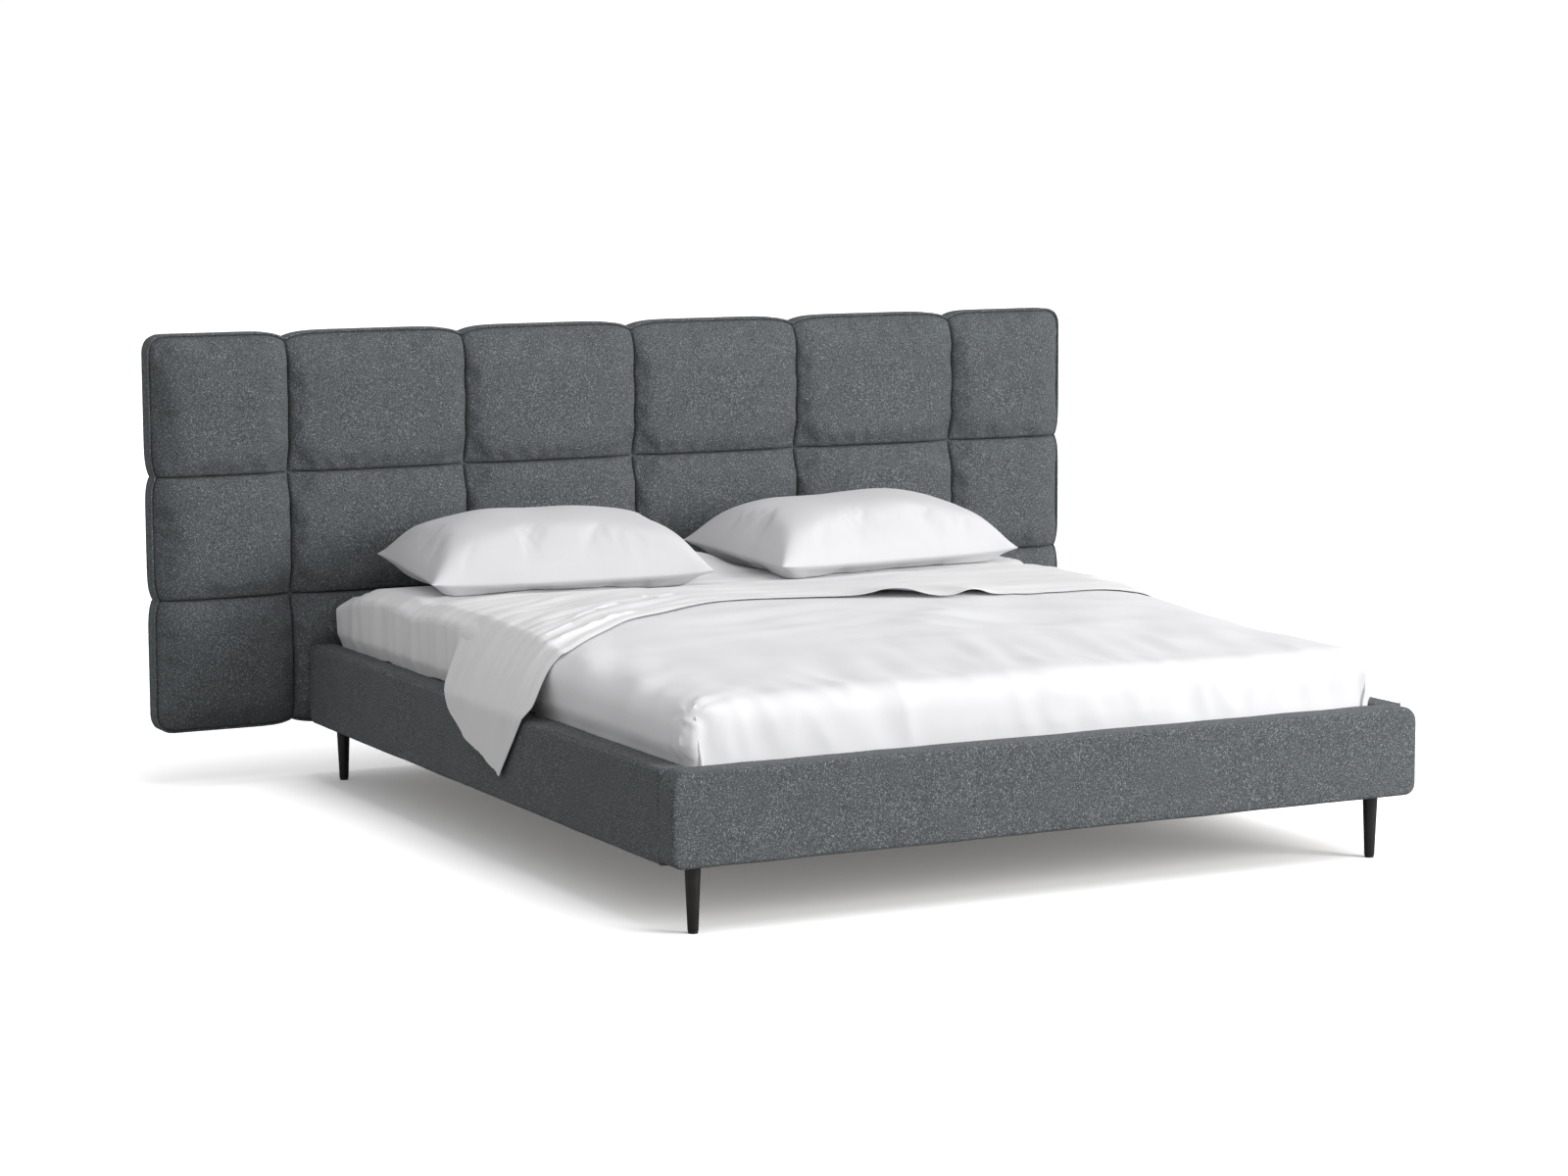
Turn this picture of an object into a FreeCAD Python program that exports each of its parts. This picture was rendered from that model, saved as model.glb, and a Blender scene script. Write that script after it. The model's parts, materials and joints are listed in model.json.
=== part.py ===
import FreeCAD, Part
import os

import Sketcher
from FreeCAD import Placement, Rotation, Vector

# An upholstered bed: a wide quilted headboard on a timber frame, three padded rails on tapered
# legs, a sprung slat base, and a made-up mattress.  Units are millimetres.  +X is the bed's right
# side as seen from its foot, +Y points from the foot to the headboard and +Z is up.  The origin
# is on the floor, under the middle of the whole bed.

DRIVING_DIMENSIONS = {
    # overall
    "bed_depth": 2160,
    "frame_width": 1780,
    "rail_bottom": 142,
    # rails
    "rail_thickness": 64,
    "rail_height": 193,
    "core_thickness": 40,
    "rail_wrap": 10,
    "rail_end_wrap": 14,
    "rail_round_top": 35,
    "rail_round_bottom": 25,
    "rail_edge_round": 8,
    "side_end_wrap": 6,
    "side_end_round": 20,
    "head_rail_thickness": 30,
    # headboard
    "headboard_width": 2512,
    "headboard_height": 943,
    "headboard_round": 30,
    "border_thickness": 20,
    "border_depth": 40,
    "piping_size": 5,
    "column_width": 460,
    "low_seam": 458,
    "high_seam": 755,
    "pad_depth": 46,
    "pad_gap": 2,
    "pad_round": 12,
    "board_thickness": 12,
    "timber_depth": 30,
    "timber_width": 60,
    "stud_centre": 765,
    "back_cloth": 2,
    # slat base
    "ledge_width": 35,
    "ledge_bottom": 160,
    "ledge_height": 45,
    "ledge_clearance": 50,
    "beam_width": 60,
    "slat_width": 70,
    "slat_thickness": 12,
    "slat_rise": 4,
    "holder_wall": 4,
    "holder_depth": 30,
    "saddle_wall": 3,
    "saddle_length": 50,
    # fittings
    "bracket_wall": 3,
    "bracket_arm": 44,
    "bracket_height": 90,
    "bolt_radius": 4,
    "bolt_head_radius": 7,
    "bolt_head_height": 5,
    "bolt_grip": 30,
    "headboard_bolt_height": 178,
    "headboard_bolt_spacing": 50,
    "leg_x": 816,
    "leg_front_y": 1014,
    "leg_rear_y": 958,
    "leg_top_radius": 16.5,
    "leg_foot_radius": 11,
    "glide_height": 4,
    "plate_size": 80,
    "plate_thickness": 4,
    "stud_depth": 34,
    # mattress and bedding
    "mattress_width": 1600,
    "mattress_length": 1980,
    "mattress_height": 200,
    "mattress_corner": 40,
    "mattress_edge": 18,
    "mattress_gap": 4,
    "sheet_cloth": 2,
    "duvet_skirt": 18,
    "duvet_foot_skirt": 16,
    "duvet_skirt_bottom": 250,
    "duvet_thickness": 24,
    "duvet_middle_thickness": 38,
    "duvet_loft": 76,
    "duvet_head_thickness": 44,
    "duvet_length": 1640,
    "top_sheet_cloth": 4,
    "top_sheet_length": 780,
    "top_sheet_drop": 145,
    "top_sheet_drop_length": 330,
    "cloth_clearance": 1,
    "pillow_length": 710,
    "pillow_width": 450,
    "pillow_thickness": 150,
    "pillow_tilt": 3,
    "pillow_left_x": 405,
    "pillow_right_x": 430,
    "pillow_y": 660,
    "pillow_height": 588,
}

SLATS_PER_SIDE = 13
HEADBOARD_COLUMNS = 6
HEADBOARD_ROWS = 3
PILLOW_TURN = 5
# Shares of a corner bracket's height at which its two bolts sit.
FRONT_BOLT_SHARES = (0.25, 0.75)
# Shares of the duvet's length at which it starts to loft and is fully lofted.
LOFT_START_SHARE = 0.35
LOFT_FULL_SHARE = 0.62
# How far the turned-down top sheet reaches past the start of the full loft.
BAND_OVERLAP = 60
# The glide is this much smaller in radius than the leg's foot.
GLIDE_INSET = 1
# Edges longer than this run along a side rail; the others belong to its ends.
SHORTEST_LONG_EDGE = 1000

# Places that several pieces share, written from the driving dimensions.
FOOT_FACE = "(-sizes.bed_depth / 2)"
FOOT_INNER = f"({FOOT_FACE} + sizes.rail_thickness)"
FRAME_SIDE = "(sizes.frame_width / 2)"
INNER_SIDE = f"({FRAME_SIDE} - sizes.rail_thickness)"
BACK_FACE = "(sizes.bed_depth / 2)"
BOARD_REAR = f"({BACK_FACE} - sizes.back_cloth - sizes.timber_depth)"
BOARD_FRONT = f"({BOARD_REAR} - sizes.board_thickness)"
PAD_FRONT = f"({BOARD_FRONT} - sizes.pad_depth)"
SIDE_END = f"({PAD_FRONT} - sizes.cloth_clearance)"
HEAD_RAIL_FRONT = f"({SIDE_END} - sizes.head_rail_thickness)"
RAIL_TOP = "(sizes.rail_bottom + sizes.rail_height)"
CORE_BOTTOM = "(sizes.rail_bottom + sizes.rail_wrap)"
CORE_HEIGHT = "(sizes.rail_height - 2 * sizes.rail_wrap)"
LEDGE_TOP = "(sizes.ledge_bottom + sizes.ledge_height)"
LEDGE_START = f"({FOOT_INNER} + sizes.ledge_clearance)"
LEDGE_LENGTH = f"({HEAD_RAIL_FRONT} - sizes.ledge_clearance - {LEDGE_START})"
BEAM_LENGTH = f"({HEAD_RAIL_FRONT} - {FOOT_INNER})"
HEADBOARD_SIDE = "(sizes.headboard_width / 2)"
HEADBOARD_TOP = "(sizes.rail_bottom + sizes.headboard_height)"
LINING_SIDE = f"({HEADBOARD_SIDE} - sizes.border_thickness)"
LINING_BOTTOM = "(sizes.rail_bottom + sizes.border_thickness)"
LINING_TOP = f"({HEADBOARD_TOP} - sizes.border_thickness)"
LINING_HEIGHT = "(sizes.headboard_height - 2 * sizes.border_thickness)"
LINING_ROUND = "(sizes.headboard_round - sizes.border_thickness)"
SLAT_TOP = f"({LEDGE_TOP} + sizes.holder_wall + sizes.slat_thickness + sizes.slat_rise)"
MATTRESS_HEAD = f"({PAD_FRONT} - sizes.mattress_gap)"
MATTRESS_FOOT = f"({MATTRESS_HEAD} - sizes.mattress_length)"
MATTRESS_TOP = f"({SLAT_TOP} + sizes.mattress_height)"
SHEET_TOP = f"({MATTRESS_TOP} + sizes.sheet_cloth)"

document = FreeCAD.newDocument("upholstered_bed")
sheet = document.addObject("Spreadsheet::Sheet", "sizes")
for row, (alias, value) in enumerate(DRIVING_DIMENSIONS.items(), start=1):
    sheet.set(f"A{row}", str(value))
    sheet.setAlias(f"A{row}", alias)
document.recompute()

nodes = []


def size(alias):
    """Reads one driving dimension from the sheet, in millimetres."""
    return float(sheet.get(alias))


def keep(item, label):
    """Names a finished sub-part and puts it on the list of nodes."""
    item.Label = label
    nodes.append(item)
    return item


def place(item, low):
    """Binds an object's base point to three expressions."""
    for axis, expression in zip("xyz", low):
        item.setExpression(f"Placement.Base.{axis}", expression)


def block(name, low, extent):
    """A plain box from its lowest corner and its extent, both as expressions."""
    item = document.addObject("Part::Box", name)
    for side, expression in zip(("Length", "Width", "Height"), extent):
        item.setExpression(side, expression)
    place(item, low)
    return item


def block_in(body, name, low, extent, feature="PartDesign::AdditiveBox"):
    """A box feature of a body, added or cut, from its lowest corner and its extent."""
    item = body.newObject(feature, name)
    for side, expression in zip(("Length", "Width", "Height"), extent):
        item.setExpression(side, expression)
    place(item, low)
    document.recompute()
    return item


def new_body(name):
    """An empty body."""
    return document.addObject("PartDesign::Body", name)


def round_edges(body, name, base, chosen, radius):
    """Rounds the edges of a feature whose bounding box the chooser accepts."""
    fillet = body.newObject("PartDesign::Fillet", name)
    edges = []
    for index, edge in enumerate(base.Shape.Edges, start=1):
        if chosen(edge.BoundBox):
            edges.append(f"Edge{index}")
    fillet.Base = (base, edges)
    fillet.setExpression("Radius", radius)
    document.recompute()
    return fillet


def same(value, other):
    """True when two lengths agree to a hundredth of a millimetre."""
    return abs(value - other) < 0.01


def rod(name, centre, radius, length, along):
    """A cylinder along X, Y or Z from the centre of its first end."""
    item = document.addObject("Part::Cylinder", name)
    item.setExpression("Radius", radius)
    item.setExpression("Height", length)
    turns = {
        "X": Rotation(Vector(0, 1, 0), 90),
        "-X": Rotation(Vector(0, 1, 0), -90),
        "Y": Rotation(Vector(1, 0, 0), -90),
        "-Y": Rotation(Vector(1, 0, 0), 90),
        "Z": Rotation(),
    }
    item.Placement = Placement(Vector(), turns[along])
    place(item, centre)
    return item


def group(name, items):
    """Several separate solids as one object."""
    item = document.addObject("Part::Compound", name)
    item.Links = items
    return item


def cut(name, base, tools):
    """A piece with the given tools taken out of it."""
    item = document.addObject("Part::Cut", name)
    item.Base = base
    item.Tool = group(f"{name}_tools", tools)
    return item


def drawn_body(name, plane_role, points):
    """A body whose first sketch is a polygon with its corners bound to expressions.

    Each point is a pair of expressions, measured from the sketch's origin; "0" puts the point
    on that axis.
    """
    body = new_body(name)
    sketch = body.newObject("Sketcher::SketchObject", f"{name}_profile")
    planes = [item for item in body.Origin.OriginFeatures if item.Role == plane_role]
    sketch.AttachmentSupport = [(planes[0], "")]
    sketch.MapMode = "FlatFace"
    corners = [Vector(evaluate(across), evaluate(up), 0) for across, up in points]
    for index, corner in enumerate(corners):
        following = corners[(index + 1) % len(corners)]
        sketch.addGeometry(Part.LineSegment(corner, following), False)
    for index in range(len(corners)):
        following = (index + 1) % len(corners)
        sketch.addConstraint(Sketcher.Constraint("Coincident", index, 2, following, 1))
    for index, (across, up) in enumerate(points):
        pin(sketch, index, "DistanceX", across, corners[index].x, -2)
        pin(sketch, index, "DistanceY", up, corners[index].y, -1)
    document.recompute()
    return body, sketch


def pin(sketch, line, direction, expression, value, axis):
    """Fixes one coordinate of a line's first point to an expression, or to an axis."""
    if expression == "0":
        sketch.addConstraint(Sketcher.Constraint("PointOnObject", line, 1, axis))
        return
    constraint = Sketcher.Constraint(direction, -1, 1, line, 1, value)
    number = sketch.addConstraint(constraint)
    name = f"{direction}_{line}"
    sketch.renameConstraint(number, name)
    sketch.setExpression(f"Constraints.{name}", expression)


def evaluate(expression):
    """The present value of an expression in millimetres, for a sketch's first drawing."""
    return float(sheet.evalExpression(expression.replace("sizes.", "")))


def pad(body, sketch, length, midplane=False):
    """Extrudes a body's sketch."""
    feature = body.newObject("PartDesign::Pad", f"{body.Name}_pad")
    feature.Profile = sketch
    feature.setExpression("Length", length)
    feature.Midplane = midplane
    document.recompute()
    return feature


def turn(body, sketch):
    """Revolves a body's sketch about its upright axis."""
    feature = body.newObject("PartDesign::Revolution", f"{body.Name}_turned")
    feature.Profile = sketch
    feature.ReferenceAxis = (sketch, ["V_Axis"])
    feature.Angle = 360
    document.recompute()
    return feature


def rounded_panel(name, low, extent, radius):
    """A flat upright panel whose four corners, seen from the front, are rounded."""
    body = new_body(name)
    base = block_in(body, f"{name}_block", low, extent)
    depth = base.Shape.BoundBox.YLength
    round_edges(body, f"{name}_corners", base, lambda box: same(box.YLength, depth), radius)
    return body


# ---------------------------------------------------------------- headboard: timber and board


def headboard_timber(label, low, extent, rounded_height=None):
    """One frame timber; a rail gets its two outer corners rounded to follow the border."""
    body = new_body(label)
    base = block_in(body, f"{label}_block", low, extent)
    if rounded_height is not None:
        depth = base.Shape.BoundBox.YLength
        edge = evaluate(rounded_height)

        def outer_corner(box):
            return same(box.YLength, depth) and same(box.ZMin, edge)

        round_edges(body, f"{label}_corners", base, outer_corner, LINING_ROUND)
    return keep(body, label)


RAIL_EXTENT = ("sizes.headboard_width - 2 * sizes.border_thickness", "sizes.timber_depth",
               "sizes.timber_width")
UPRIGHT_LENGTH = f"{LINING_HEIGHT} - 2 * sizes.timber_width"
UPRIGHT_BOTTOM = f"{LINING_BOTTOM} + sizes.timber_width"
UPRIGHT_EXTENT = ("sizes.timber_width", "sizes.timber_depth", UPRIGHT_LENGTH)

headboard_timber(
    "headboard_top_rail",
    (f"-{LINING_SIDE}", BOARD_REAR, f"{LINING_TOP} - sizes.timber_width"),
    RAIL_EXTENT,
    LINING_TOP,
)
bottom_rail = new_body("bottom_timber")
bottom_rail_block = block_in(
    bottom_rail, "bottom_timber_block", (f"-{LINING_SIDE}", BOARD_REAR, LINING_BOTTOM), RAIL_EXTENT
)
lowest = evaluate(LINING_BOTTOM)
round_edges(
    bottom_rail,
    "bottom_timber_corners",
    bottom_rail_block,
    lambda box: same(box.YLength, size("timber_depth")) and same(box.ZMin, lowest),
    LINING_ROUND,
)
for side, mirror in (("left", -1), ("right", 1)):
    stile_x = f"-{LINING_SIDE}" if mirror < 0 else f"{LINING_SIDE} - sizes.timber_width"
    headboard_timber(
        f"headboard_stile_{side}", (stile_x, BOARD_REAR, UPRIGHT_BOTTOM), UPRIGHT_EXTENT
    )
    stud_x = f"{mirror} * sizes.stud_centre - sizes.timber_width / 2"
    headboard_timber(
        f"headboard_stud_{side}", (stud_x, BOARD_REAR, UPRIGHT_BOTTOM), UPRIGHT_EXTENT
    )

board_panel = rounded_panel(
    "backing_board_panel",
    (f"-{LINING_SIDE}", BOARD_FRONT, LINING_BOTTOM),
    (f"2 * {LINING_SIDE}", "sizes.board_thickness", LINING_HEIGHT),
    LINING_ROUND,
)

# ---------------------------------------------------------------- headboard: quilted pads

COLUMN_EDGES = [f"-{LINING_SIDE}"]
for column in range(1, HEADBOARD_COLUMNS):
    COLUMN_EDGES.append(f"({column - HEADBOARD_COLUMNS // 2} * sizes.column_width)")
COLUMN_EDGES.append(LINING_SIDE)
ROW_EDGES = [LINING_BOTTOM, "sizes.low_seam", "sizes.high_seam", LINING_TOP]


def quilted_pad(name, row, column):
    """One foam pad of the headboard, with its front edges rounded into the seams."""
    left = f"({COLUMN_EDGES[column]} + sizes.pad_gap / 2)"
    right = f"({COLUMN_EDGES[column + 1]} - sizes.pad_gap / 2)"
    bottom = f"({ROW_EDGES[row]} + sizes.pad_gap / 2)"
    top = f"({ROW_EDGES[row + 1]} - sizes.pad_gap / 2)"
    body = new_body(name)
    feature = block_in(
        body,
        f"{name}_block",
        (left, PAD_FRONT, bottom),
        (f"{right} - {left}", "sizes.pad_depth", f"{top} - {bottom}"),
    )
    at_side = column in (0, HEADBOARD_COLUMNS - 1)
    at_edge = row in (0, HEADBOARD_ROWS - 1)
    if at_side and at_edge:
        outer_x = evaluate(left if column == 0 else right)
        outer_z = evaluate(bottom if row == 0 else top)

        def panel_corner(box):
            upright = same(box.YLength, size("pad_depth"))
            return upright and same(box.XMin, outer_x) and same(box.ZMin, outer_z)

        feature = round_edges(body, f"{name}_corner", feature, panel_corner, LINING_ROUND)
    front = evaluate(PAD_FRONT)

    def front_edge(box):
        return same(box.YMin, front) and same(box.YMax, front)

    round_edges(body, f"{name}_front", feature, front_edge, "sizes.pad_round")
    return body


pads = {}
for row in range(HEADBOARD_ROWS):
    for column in range(HEADBOARD_COLUMNS):
        pads[row, column] = quilted_pad(f"pad_{row + 1}_{column + 1}", row, column)

# ---------------------------------------------------------------- headboard: border and back


def panel_ring(label, front, depth, wall):
    """A closed band round the headboard's edge."""
    outer = rounded_panel(
        f"{label}_outer",
        (f"-{HEADBOARD_SIDE}", front, "sizes.rail_bottom"),
        ("sizes.headboard_width", depth, "sizes.headboard_height"),
        "sizes.headboard_round",
    )
    inner = rounded_panel(
        f"{label}_inner",
        (f"-{HEADBOARD_SIDE} + {wall}", front, f"sizes.rail_bottom + {wall}"),
        (f"sizes.headboard_width - 2 * {wall}", depth, f"sizes.headboard_height - 2 * {wall}"),
        f"sizes.headboard_round - {wall}",
    )
    return keep(cut(label, outer, [inner]), label)


BORDER_FRONT = f"({BACK_FACE} - sizes.border_depth)"
panel_ring("headboard_border", BORDER_FRONT, "sizes.border_depth", "sizes.border_thickness")
panel_ring(
    "headboard_piping",
    f"{BORDER_FRONT} - sizes.piping_size",
    "sizes.piping_size",
    "sizes.piping_size",
)
back_cloth = rounded_panel(
    "headboard_back_cloth",
    (f"-{LINING_SIDE}", f"{BACK_FACE} - sizes.back_cloth", LINING_BOTTOM),
    (f"2 * {LINING_SIDE}", "sizes.back_cloth", LINING_HEIGHT),
    LINING_ROUND,
)
keep(back_cloth, "headboard_back_cloth")

# ---------------------------------------------------------------- brackets and bolts

ARM_MIDDLE = "sizes.bracket_arm / 2 + sizes.bracket_wall"


def corner_angle(name, side, facing, height, bottom):
    """A steel angle in an inner corner: one arm on the side rail, one on the cross rail."""
    wall = "sizes.bracket_wall"
    arm = "sizes.bracket_arm"
    corner_x = f"{side} * {INNER_SIDE}"
    corner_y = FOOT_INNER if facing > 0 else HEAD_RAIL_FRONT
    near_x = f"{corner_x} - {side} * {wall}"
    far_x = f"{corner_x} - {side} * {arm}"
    near_y = f"{corner_y} + {facing} * {wall}"
    far_y = f"{corner_y} + {facing} * {arm}"
    points = [
        (corner_x, corner_y),
        (corner_x, far_y),
        (near_x, far_y),
        (near_x, near_y),
        (far_x, near_y),
        (far_x, corner_y),
    ]
    body, sketch = drawn_body(name, "XY_Plane", points)
    pad(body, sketch, height)
    body.setExpression("Placement.Base.z", bottom)
    return body


def bolt(name, face, along, grip):
    """A hexagon-socket bolt: a round head on a face, its shank running the other way."""
    against = along[1:] if along.startswith("-") else f"-{along}"
    head = rod(f"{name}_head", face, "sizes.bolt_head_radius", "sizes.bolt_head_height", against)
    shank = rod(f"{name}_shank", face, "sizes.bolt_radius", grip, along)
    item = document.addObject("Part::Fuse", name)
    item.Base = head
    item.Tool = shank
    return item


front_angles = []
rear_angles = []
corner_bolts = []
headboard_bolts = []
side_holes = {-1: [], 1: []}
foot_holes = []
head_rail_holes = []
angle_holes = {"front": [], "rear": []}
pad_holes = {-1: [], 1: []}
board_holes = []
bottom_rail_holes = []

for side, word in ((-1, "left"), (1, "right")):
    front_angles.append(
        corner_angle(f"front_angle_{word}", side, 1, "sizes.bracket_height", CORE_BOTTOM)
    )
    rear_angles.append(
        corner_angle(
            f"rear_angle_{word}", side, -1, f"{LEDGE_TOP} - {CORE_BOTTOM}", CORE_BOTTOM
        )
    )
    outward = "X" if side > 0 else "-X"
    arm_face_x = f"{side} * ({INNER_SIDE} - sizes.bracket_wall)"
    bolt_x = f"{side} * ({INNER_SIDE} - {ARM_MIDDLE})"
    drill_length = "sizes.bolt_grip"

    for number, share in enumerate(FRONT_BOLT_SHARES):
        bolt_z = f"{CORE_BOTTOM} + {share} * sizes.bracket_height"
        bolt_y = f"{FOOT_INNER} + {ARM_MIDDLE}"
        name = f"front_{word}_{number}"
        side_point = (arm_face_x, bolt_y, bolt_z)
        corner_bolts.append(bolt(f"{name}_side_bolt", side_point, outward, drill_length))
        for target in (side_holes[side], angle_holes["front"]):
            hole = f"{name}_side_hole_{len(target)}"
            target.append(rod(hole, side_point, "sizes.bolt_radius", drill_length, outward))
        foot_point = (bolt_x, f"{FOOT_INNER} + sizes.bracket_wall", bolt_z)
        corner_bolts.append(bolt(f"{name}_foot_bolt", foot_point, "-Y", drill_length))
        for target in (foot_holes, angle_holes["front"]):
            hole = f"{name}_foot_hole_{len(target)}"
            target.append(rod(hole, foot_point, "sizes.bolt_radius", drill_length, "-Y"))

    rear_bolt_z = "sizes.headboard_bolt_height"
    rear_point = (arm_face_x, f"{HEAD_RAIL_FRONT} - {ARM_MIDDLE}", rear_bolt_z)
    corner_bolts.append(bolt(f"rear_{word}_side_bolt", rear_point, outward, drill_length))
    for target in (side_holes[side], angle_holes["rear"]):
        hole = f"rear_{word}_side_hole_{len(target)}"
        target.append(rod(hole, rear_point, "sizes.bolt_radius", drill_length, outward))

    # The headboard hangs on long bolts that pass the angle, the head rail, the pad and the
    # board and end in the bottom timber.
    long_grip = f"{BOARD_REAR} + sizes.bolt_grip - {HEAD_RAIL_FRONT} + sizes.bracket_wall"
    for number in range(2):
        inset = f"{ARM_MIDDLE} + {number} * sizes.headboard_bolt_spacing"
        hang_x = f"{side} * ({INNER_SIDE} - ({inset}))"
        start_y = f"{HEAD_RAIL_FRONT} - sizes.bracket_wall"
        grip = long_grip
        if number == 1:
            start_y = HEAD_RAIL_FRONT
            grip = f"{long_grip} - sizes.bracket_wall"
        point = (hang_x, start_y, rear_bolt_z)
        name = f"hang_{word}_{number}"
        headboard_bolts.append(bolt(name, point, "Y", grip))
        targets = [head_rail_holes, pad_holes[side], board_holes, bottom_rail_holes]
        if number == 0:
            targets.append(angle_holes["rear"])
        for order, target in enumerate(targets):
            target.append(rod(f"{name}_hole_{order}", point, "sizes.bolt_radius", grip, "Y"))

keep(cut("front_angles", group("front_angle_pair", front_angles), angle_holes["front"]),
     "corner_brackets")
keep(cut("rear_angles", group("rear_angle_pair", rear_angles), angle_holes["rear"]),
     "headboard_brackets")
keep(group("corner_bolt_set", corner_bolts), "corner_bolts")
keep(group("headboard_bolt_set", headboard_bolts), "headboard_bolts")
keep(cut("bottom_rail_drilled", bottom_rail, bottom_rail_holes), "headboard_bottom_rail")
keep(cut("backing_board_drilled", board_panel, board_holes), "headboard_backing_board")

DRILLED_PADS = {(0, 1): -1, (0, HEADBOARD_COLUMNS - 2): 1}
for (row, column), body in pads.items():
    label = f"headboard_pad_r{row + 1}_c{column + 1}"
    if (row, column) in DRILLED_PADS:
        drilled = cut(f"{body.Name}_drilled", body, pad_holes[DRILLED_PADS[row, column]])
        keep(drilled, label)
    else:
        keep(body, label)

# ---------------------------------------------------------------- rails and their covers

side_cores = {}
for side, word in ((-1, "left"), (1, "right")):
    inner_x = INNER_SIDE if side > 0 else f"-{INNER_SIDE} - sizes.core_thickness"
    core_length = f"{SIDE_END} - sizes.side_end_wrap - {FOOT_INNER}"
    plank = block(
        f"side_plank_{word}",
        (inner_x, FOOT_INNER, CORE_BOTTOM),
        ("sizes.core_thickness", core_length, CORE_HEIGHT),
    )
    keep(cut(f"side_core_{word}", plank, side_holes[side]), f"side_rail_{word}_core")

foot_plank = block(
    "foot_plank",
    (f"-{FRAME_SIDE} + sizes.rail_end_wrap", f"{FOOT_INNER} - sizes.core_thickness", CORE_BOTTOM),
    ("sizes.frame_width - 2 * sizes.rail_end_wrap", "sizes.core_thickness", CORE_HEIGHT),
)
keep(cut("foot_core", foot_plank, foot_holes), "foot_rail_core")
head_plank = block(
    "head_plank",
    (f"-{INNER_SIDE}", HEAD_RAIL_FRONT, "sizes.rail_bottom"),
    (f"2 * {INNER_SIDE}", "sizes.head_rail_thickness", f"{LEDGE_TOP} - sizes.rail_bottom"),
)
keep(cut("head_rail_drilled", head_plank, head_rail_holes), "head_rail")


def side_cover(side, word):
    """The padded cover of a side rail: it wraps the plank's outside, top, bottom and end."""
    body = new_body(f"side_cover_{word}")
    low_x = INNER_SIDE if side > 0 else f"-{FRAME_SIDE}"
    outside = block_in(
        body,
        f"side_cover_{word}_block",
        (low_x, FOOT_INNER, "sizes.rail_bottom"),
        ("sizes.rail_thickness", f"{SIDE_END} - {FOOT_INNER}", "sizes.rail_height"),
    )
    head_end = evaluate(SIDE_END)
    outer_x = side * evaluate(FRAME_SIDE)

    def head_corner(box):
        return same(box.XLength, size("rail_thickness")) and same(box.YMin, head_end)

    def long_outer_edge(box):
        return box.YLength > SHORTEST_LONG_EDGE and same(box.XMin, outer_x) and same(box.XMax, outer_x)

    ends = round_edges(
        body, f"side_cover_{word}_end", outside, head_corner, "sizes.side_end_round"
    )
    round_edges(
        body, f"side_cover_{word}_edges", ends, long_outer_edge, "sizes.rail_edge_round"
    )
    plank_x = INNER_SIDE if side > 0 else f"-{INNER_SIDE} - sizes.core_thickness"
    block_in(
        body,
        f"side_cover_{word}_channel",
        (plank_x, FOOT_INNER, CORE_BOTTOM),
        (
            "sizes.core_thickness",
            f"{SIDE_END} - sizes.side_end_wrap - {FOOT_INNER}",
            CORE_HEIGHT,
        ),
        "PartDesign::SubtractiveBox",
    )
    return keep(body, f"side_rail_{word}_cover")


side_cover(-1, "left")
side_cover(1, "right")

foot_cover = new_body("foot_cover")
foot_outside = block_in(
    foot_cover,
    "foot_cover_block",
    (f"-{FRAME_SIDE}", FOOT_FACE, "sizes.rail_bottom"),
    ("sizes.frame_width", "sizes.rail_thickness", "sizes.rail_height"),
)
rail_depth = size("rail_thickness")
rail_top_height = evaluate(RAIL_TOP)
foot_top = round_edges(
    foot_cover,
    "foot_cover_top_corners",
    foot_outside,
    lambda box: same(box.YLength, rail_depth) and same(box.ZMin, rail_top_height),
    "sizes.rail_round_top",
)
foot_bottom = round_edges(
    foot_cover,
    "foot_cover_bottom_corners",
    foot_top,
    lambda box: same(box.YLength, rail_depth) and same(box.ZMin, size("rail_bottom")),
    "sizes.rail_round_bottom",
)
foot_front = evaluate(FOOT_FACE)
round_edges(
    foot_cover,
    "foot_cover_front_edge",
    foot_bottom,
    lambda box: same(box.YMin, foot_front) and same(box.YMax, foot_front),
    "sizes.rail_edge_round",
)
block_in(
    foot_cover,
    "foot_cover_channel",
    (f"-{FRAME_SIDE} + sizes.rail_end_wrap", f"{FOOT_INNER} - sizes.core_thickness", CORE_BOTTOM),
    ("sizes.frame_width - 2 * sizes.rail_end_wrap", "sizes.core_thickness", CORE_HEIGHT),
    "PartDesign::SubtractiveBox",
)
keep(foot_cover, "foot_rail_cover")

# ---------------------------------------------------------------- slat base

for side, word in ((-1, "left"), (1, "right")):
    ledge_x = f"{INNER_SIDE} - sizes.ledge_width" if side > 0 else f"-{INNER_SIDE}"
    ledge = block(
        f"ledge_{word}",
        (ledge_x, LEDGE_START, "sizes.ledge_bottom"),
        ("sizes.ledge_width", LEDGE_LENGTH, "sizes.ledge_height"),
    )
    keep(ledge, f"slat_ledge_{word}")

beam = block(
    "beam",
    ("-sizes.beam_width / 2", FOOT_INNER, "sizes.ledge_bottom"),
    ("sizes.beam_width", BEAM_LENGTH, "sizes.ledge_height"),
)


def saddle(name, low_y):
    """A steel saddle that carries one end of the centre beam: a trough under its three sides."""
    wall = "sizes.saddle_wall"
    low = (f"-sizes.beam_width / 2 - {wall}", low_y, f"sizes.ledge_bottom - {wall}")
    extent = (f"sizes.beam_width + 2 * {wall}", "sizes.saddle_length", "sizes.ledge_height")
    outside = block(f"{name}_outside", low, extent)
    hollow = block(
        f"{name}_hollow",
        ("-sizes.beam_width / 2", low_y, "sizes.ledge_bottom"),
        ("sizes.beam_width", "sizes.saddle_length", "sizes.ledge_height"),
    )
    return cut(name, outside, [hollow])


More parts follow.
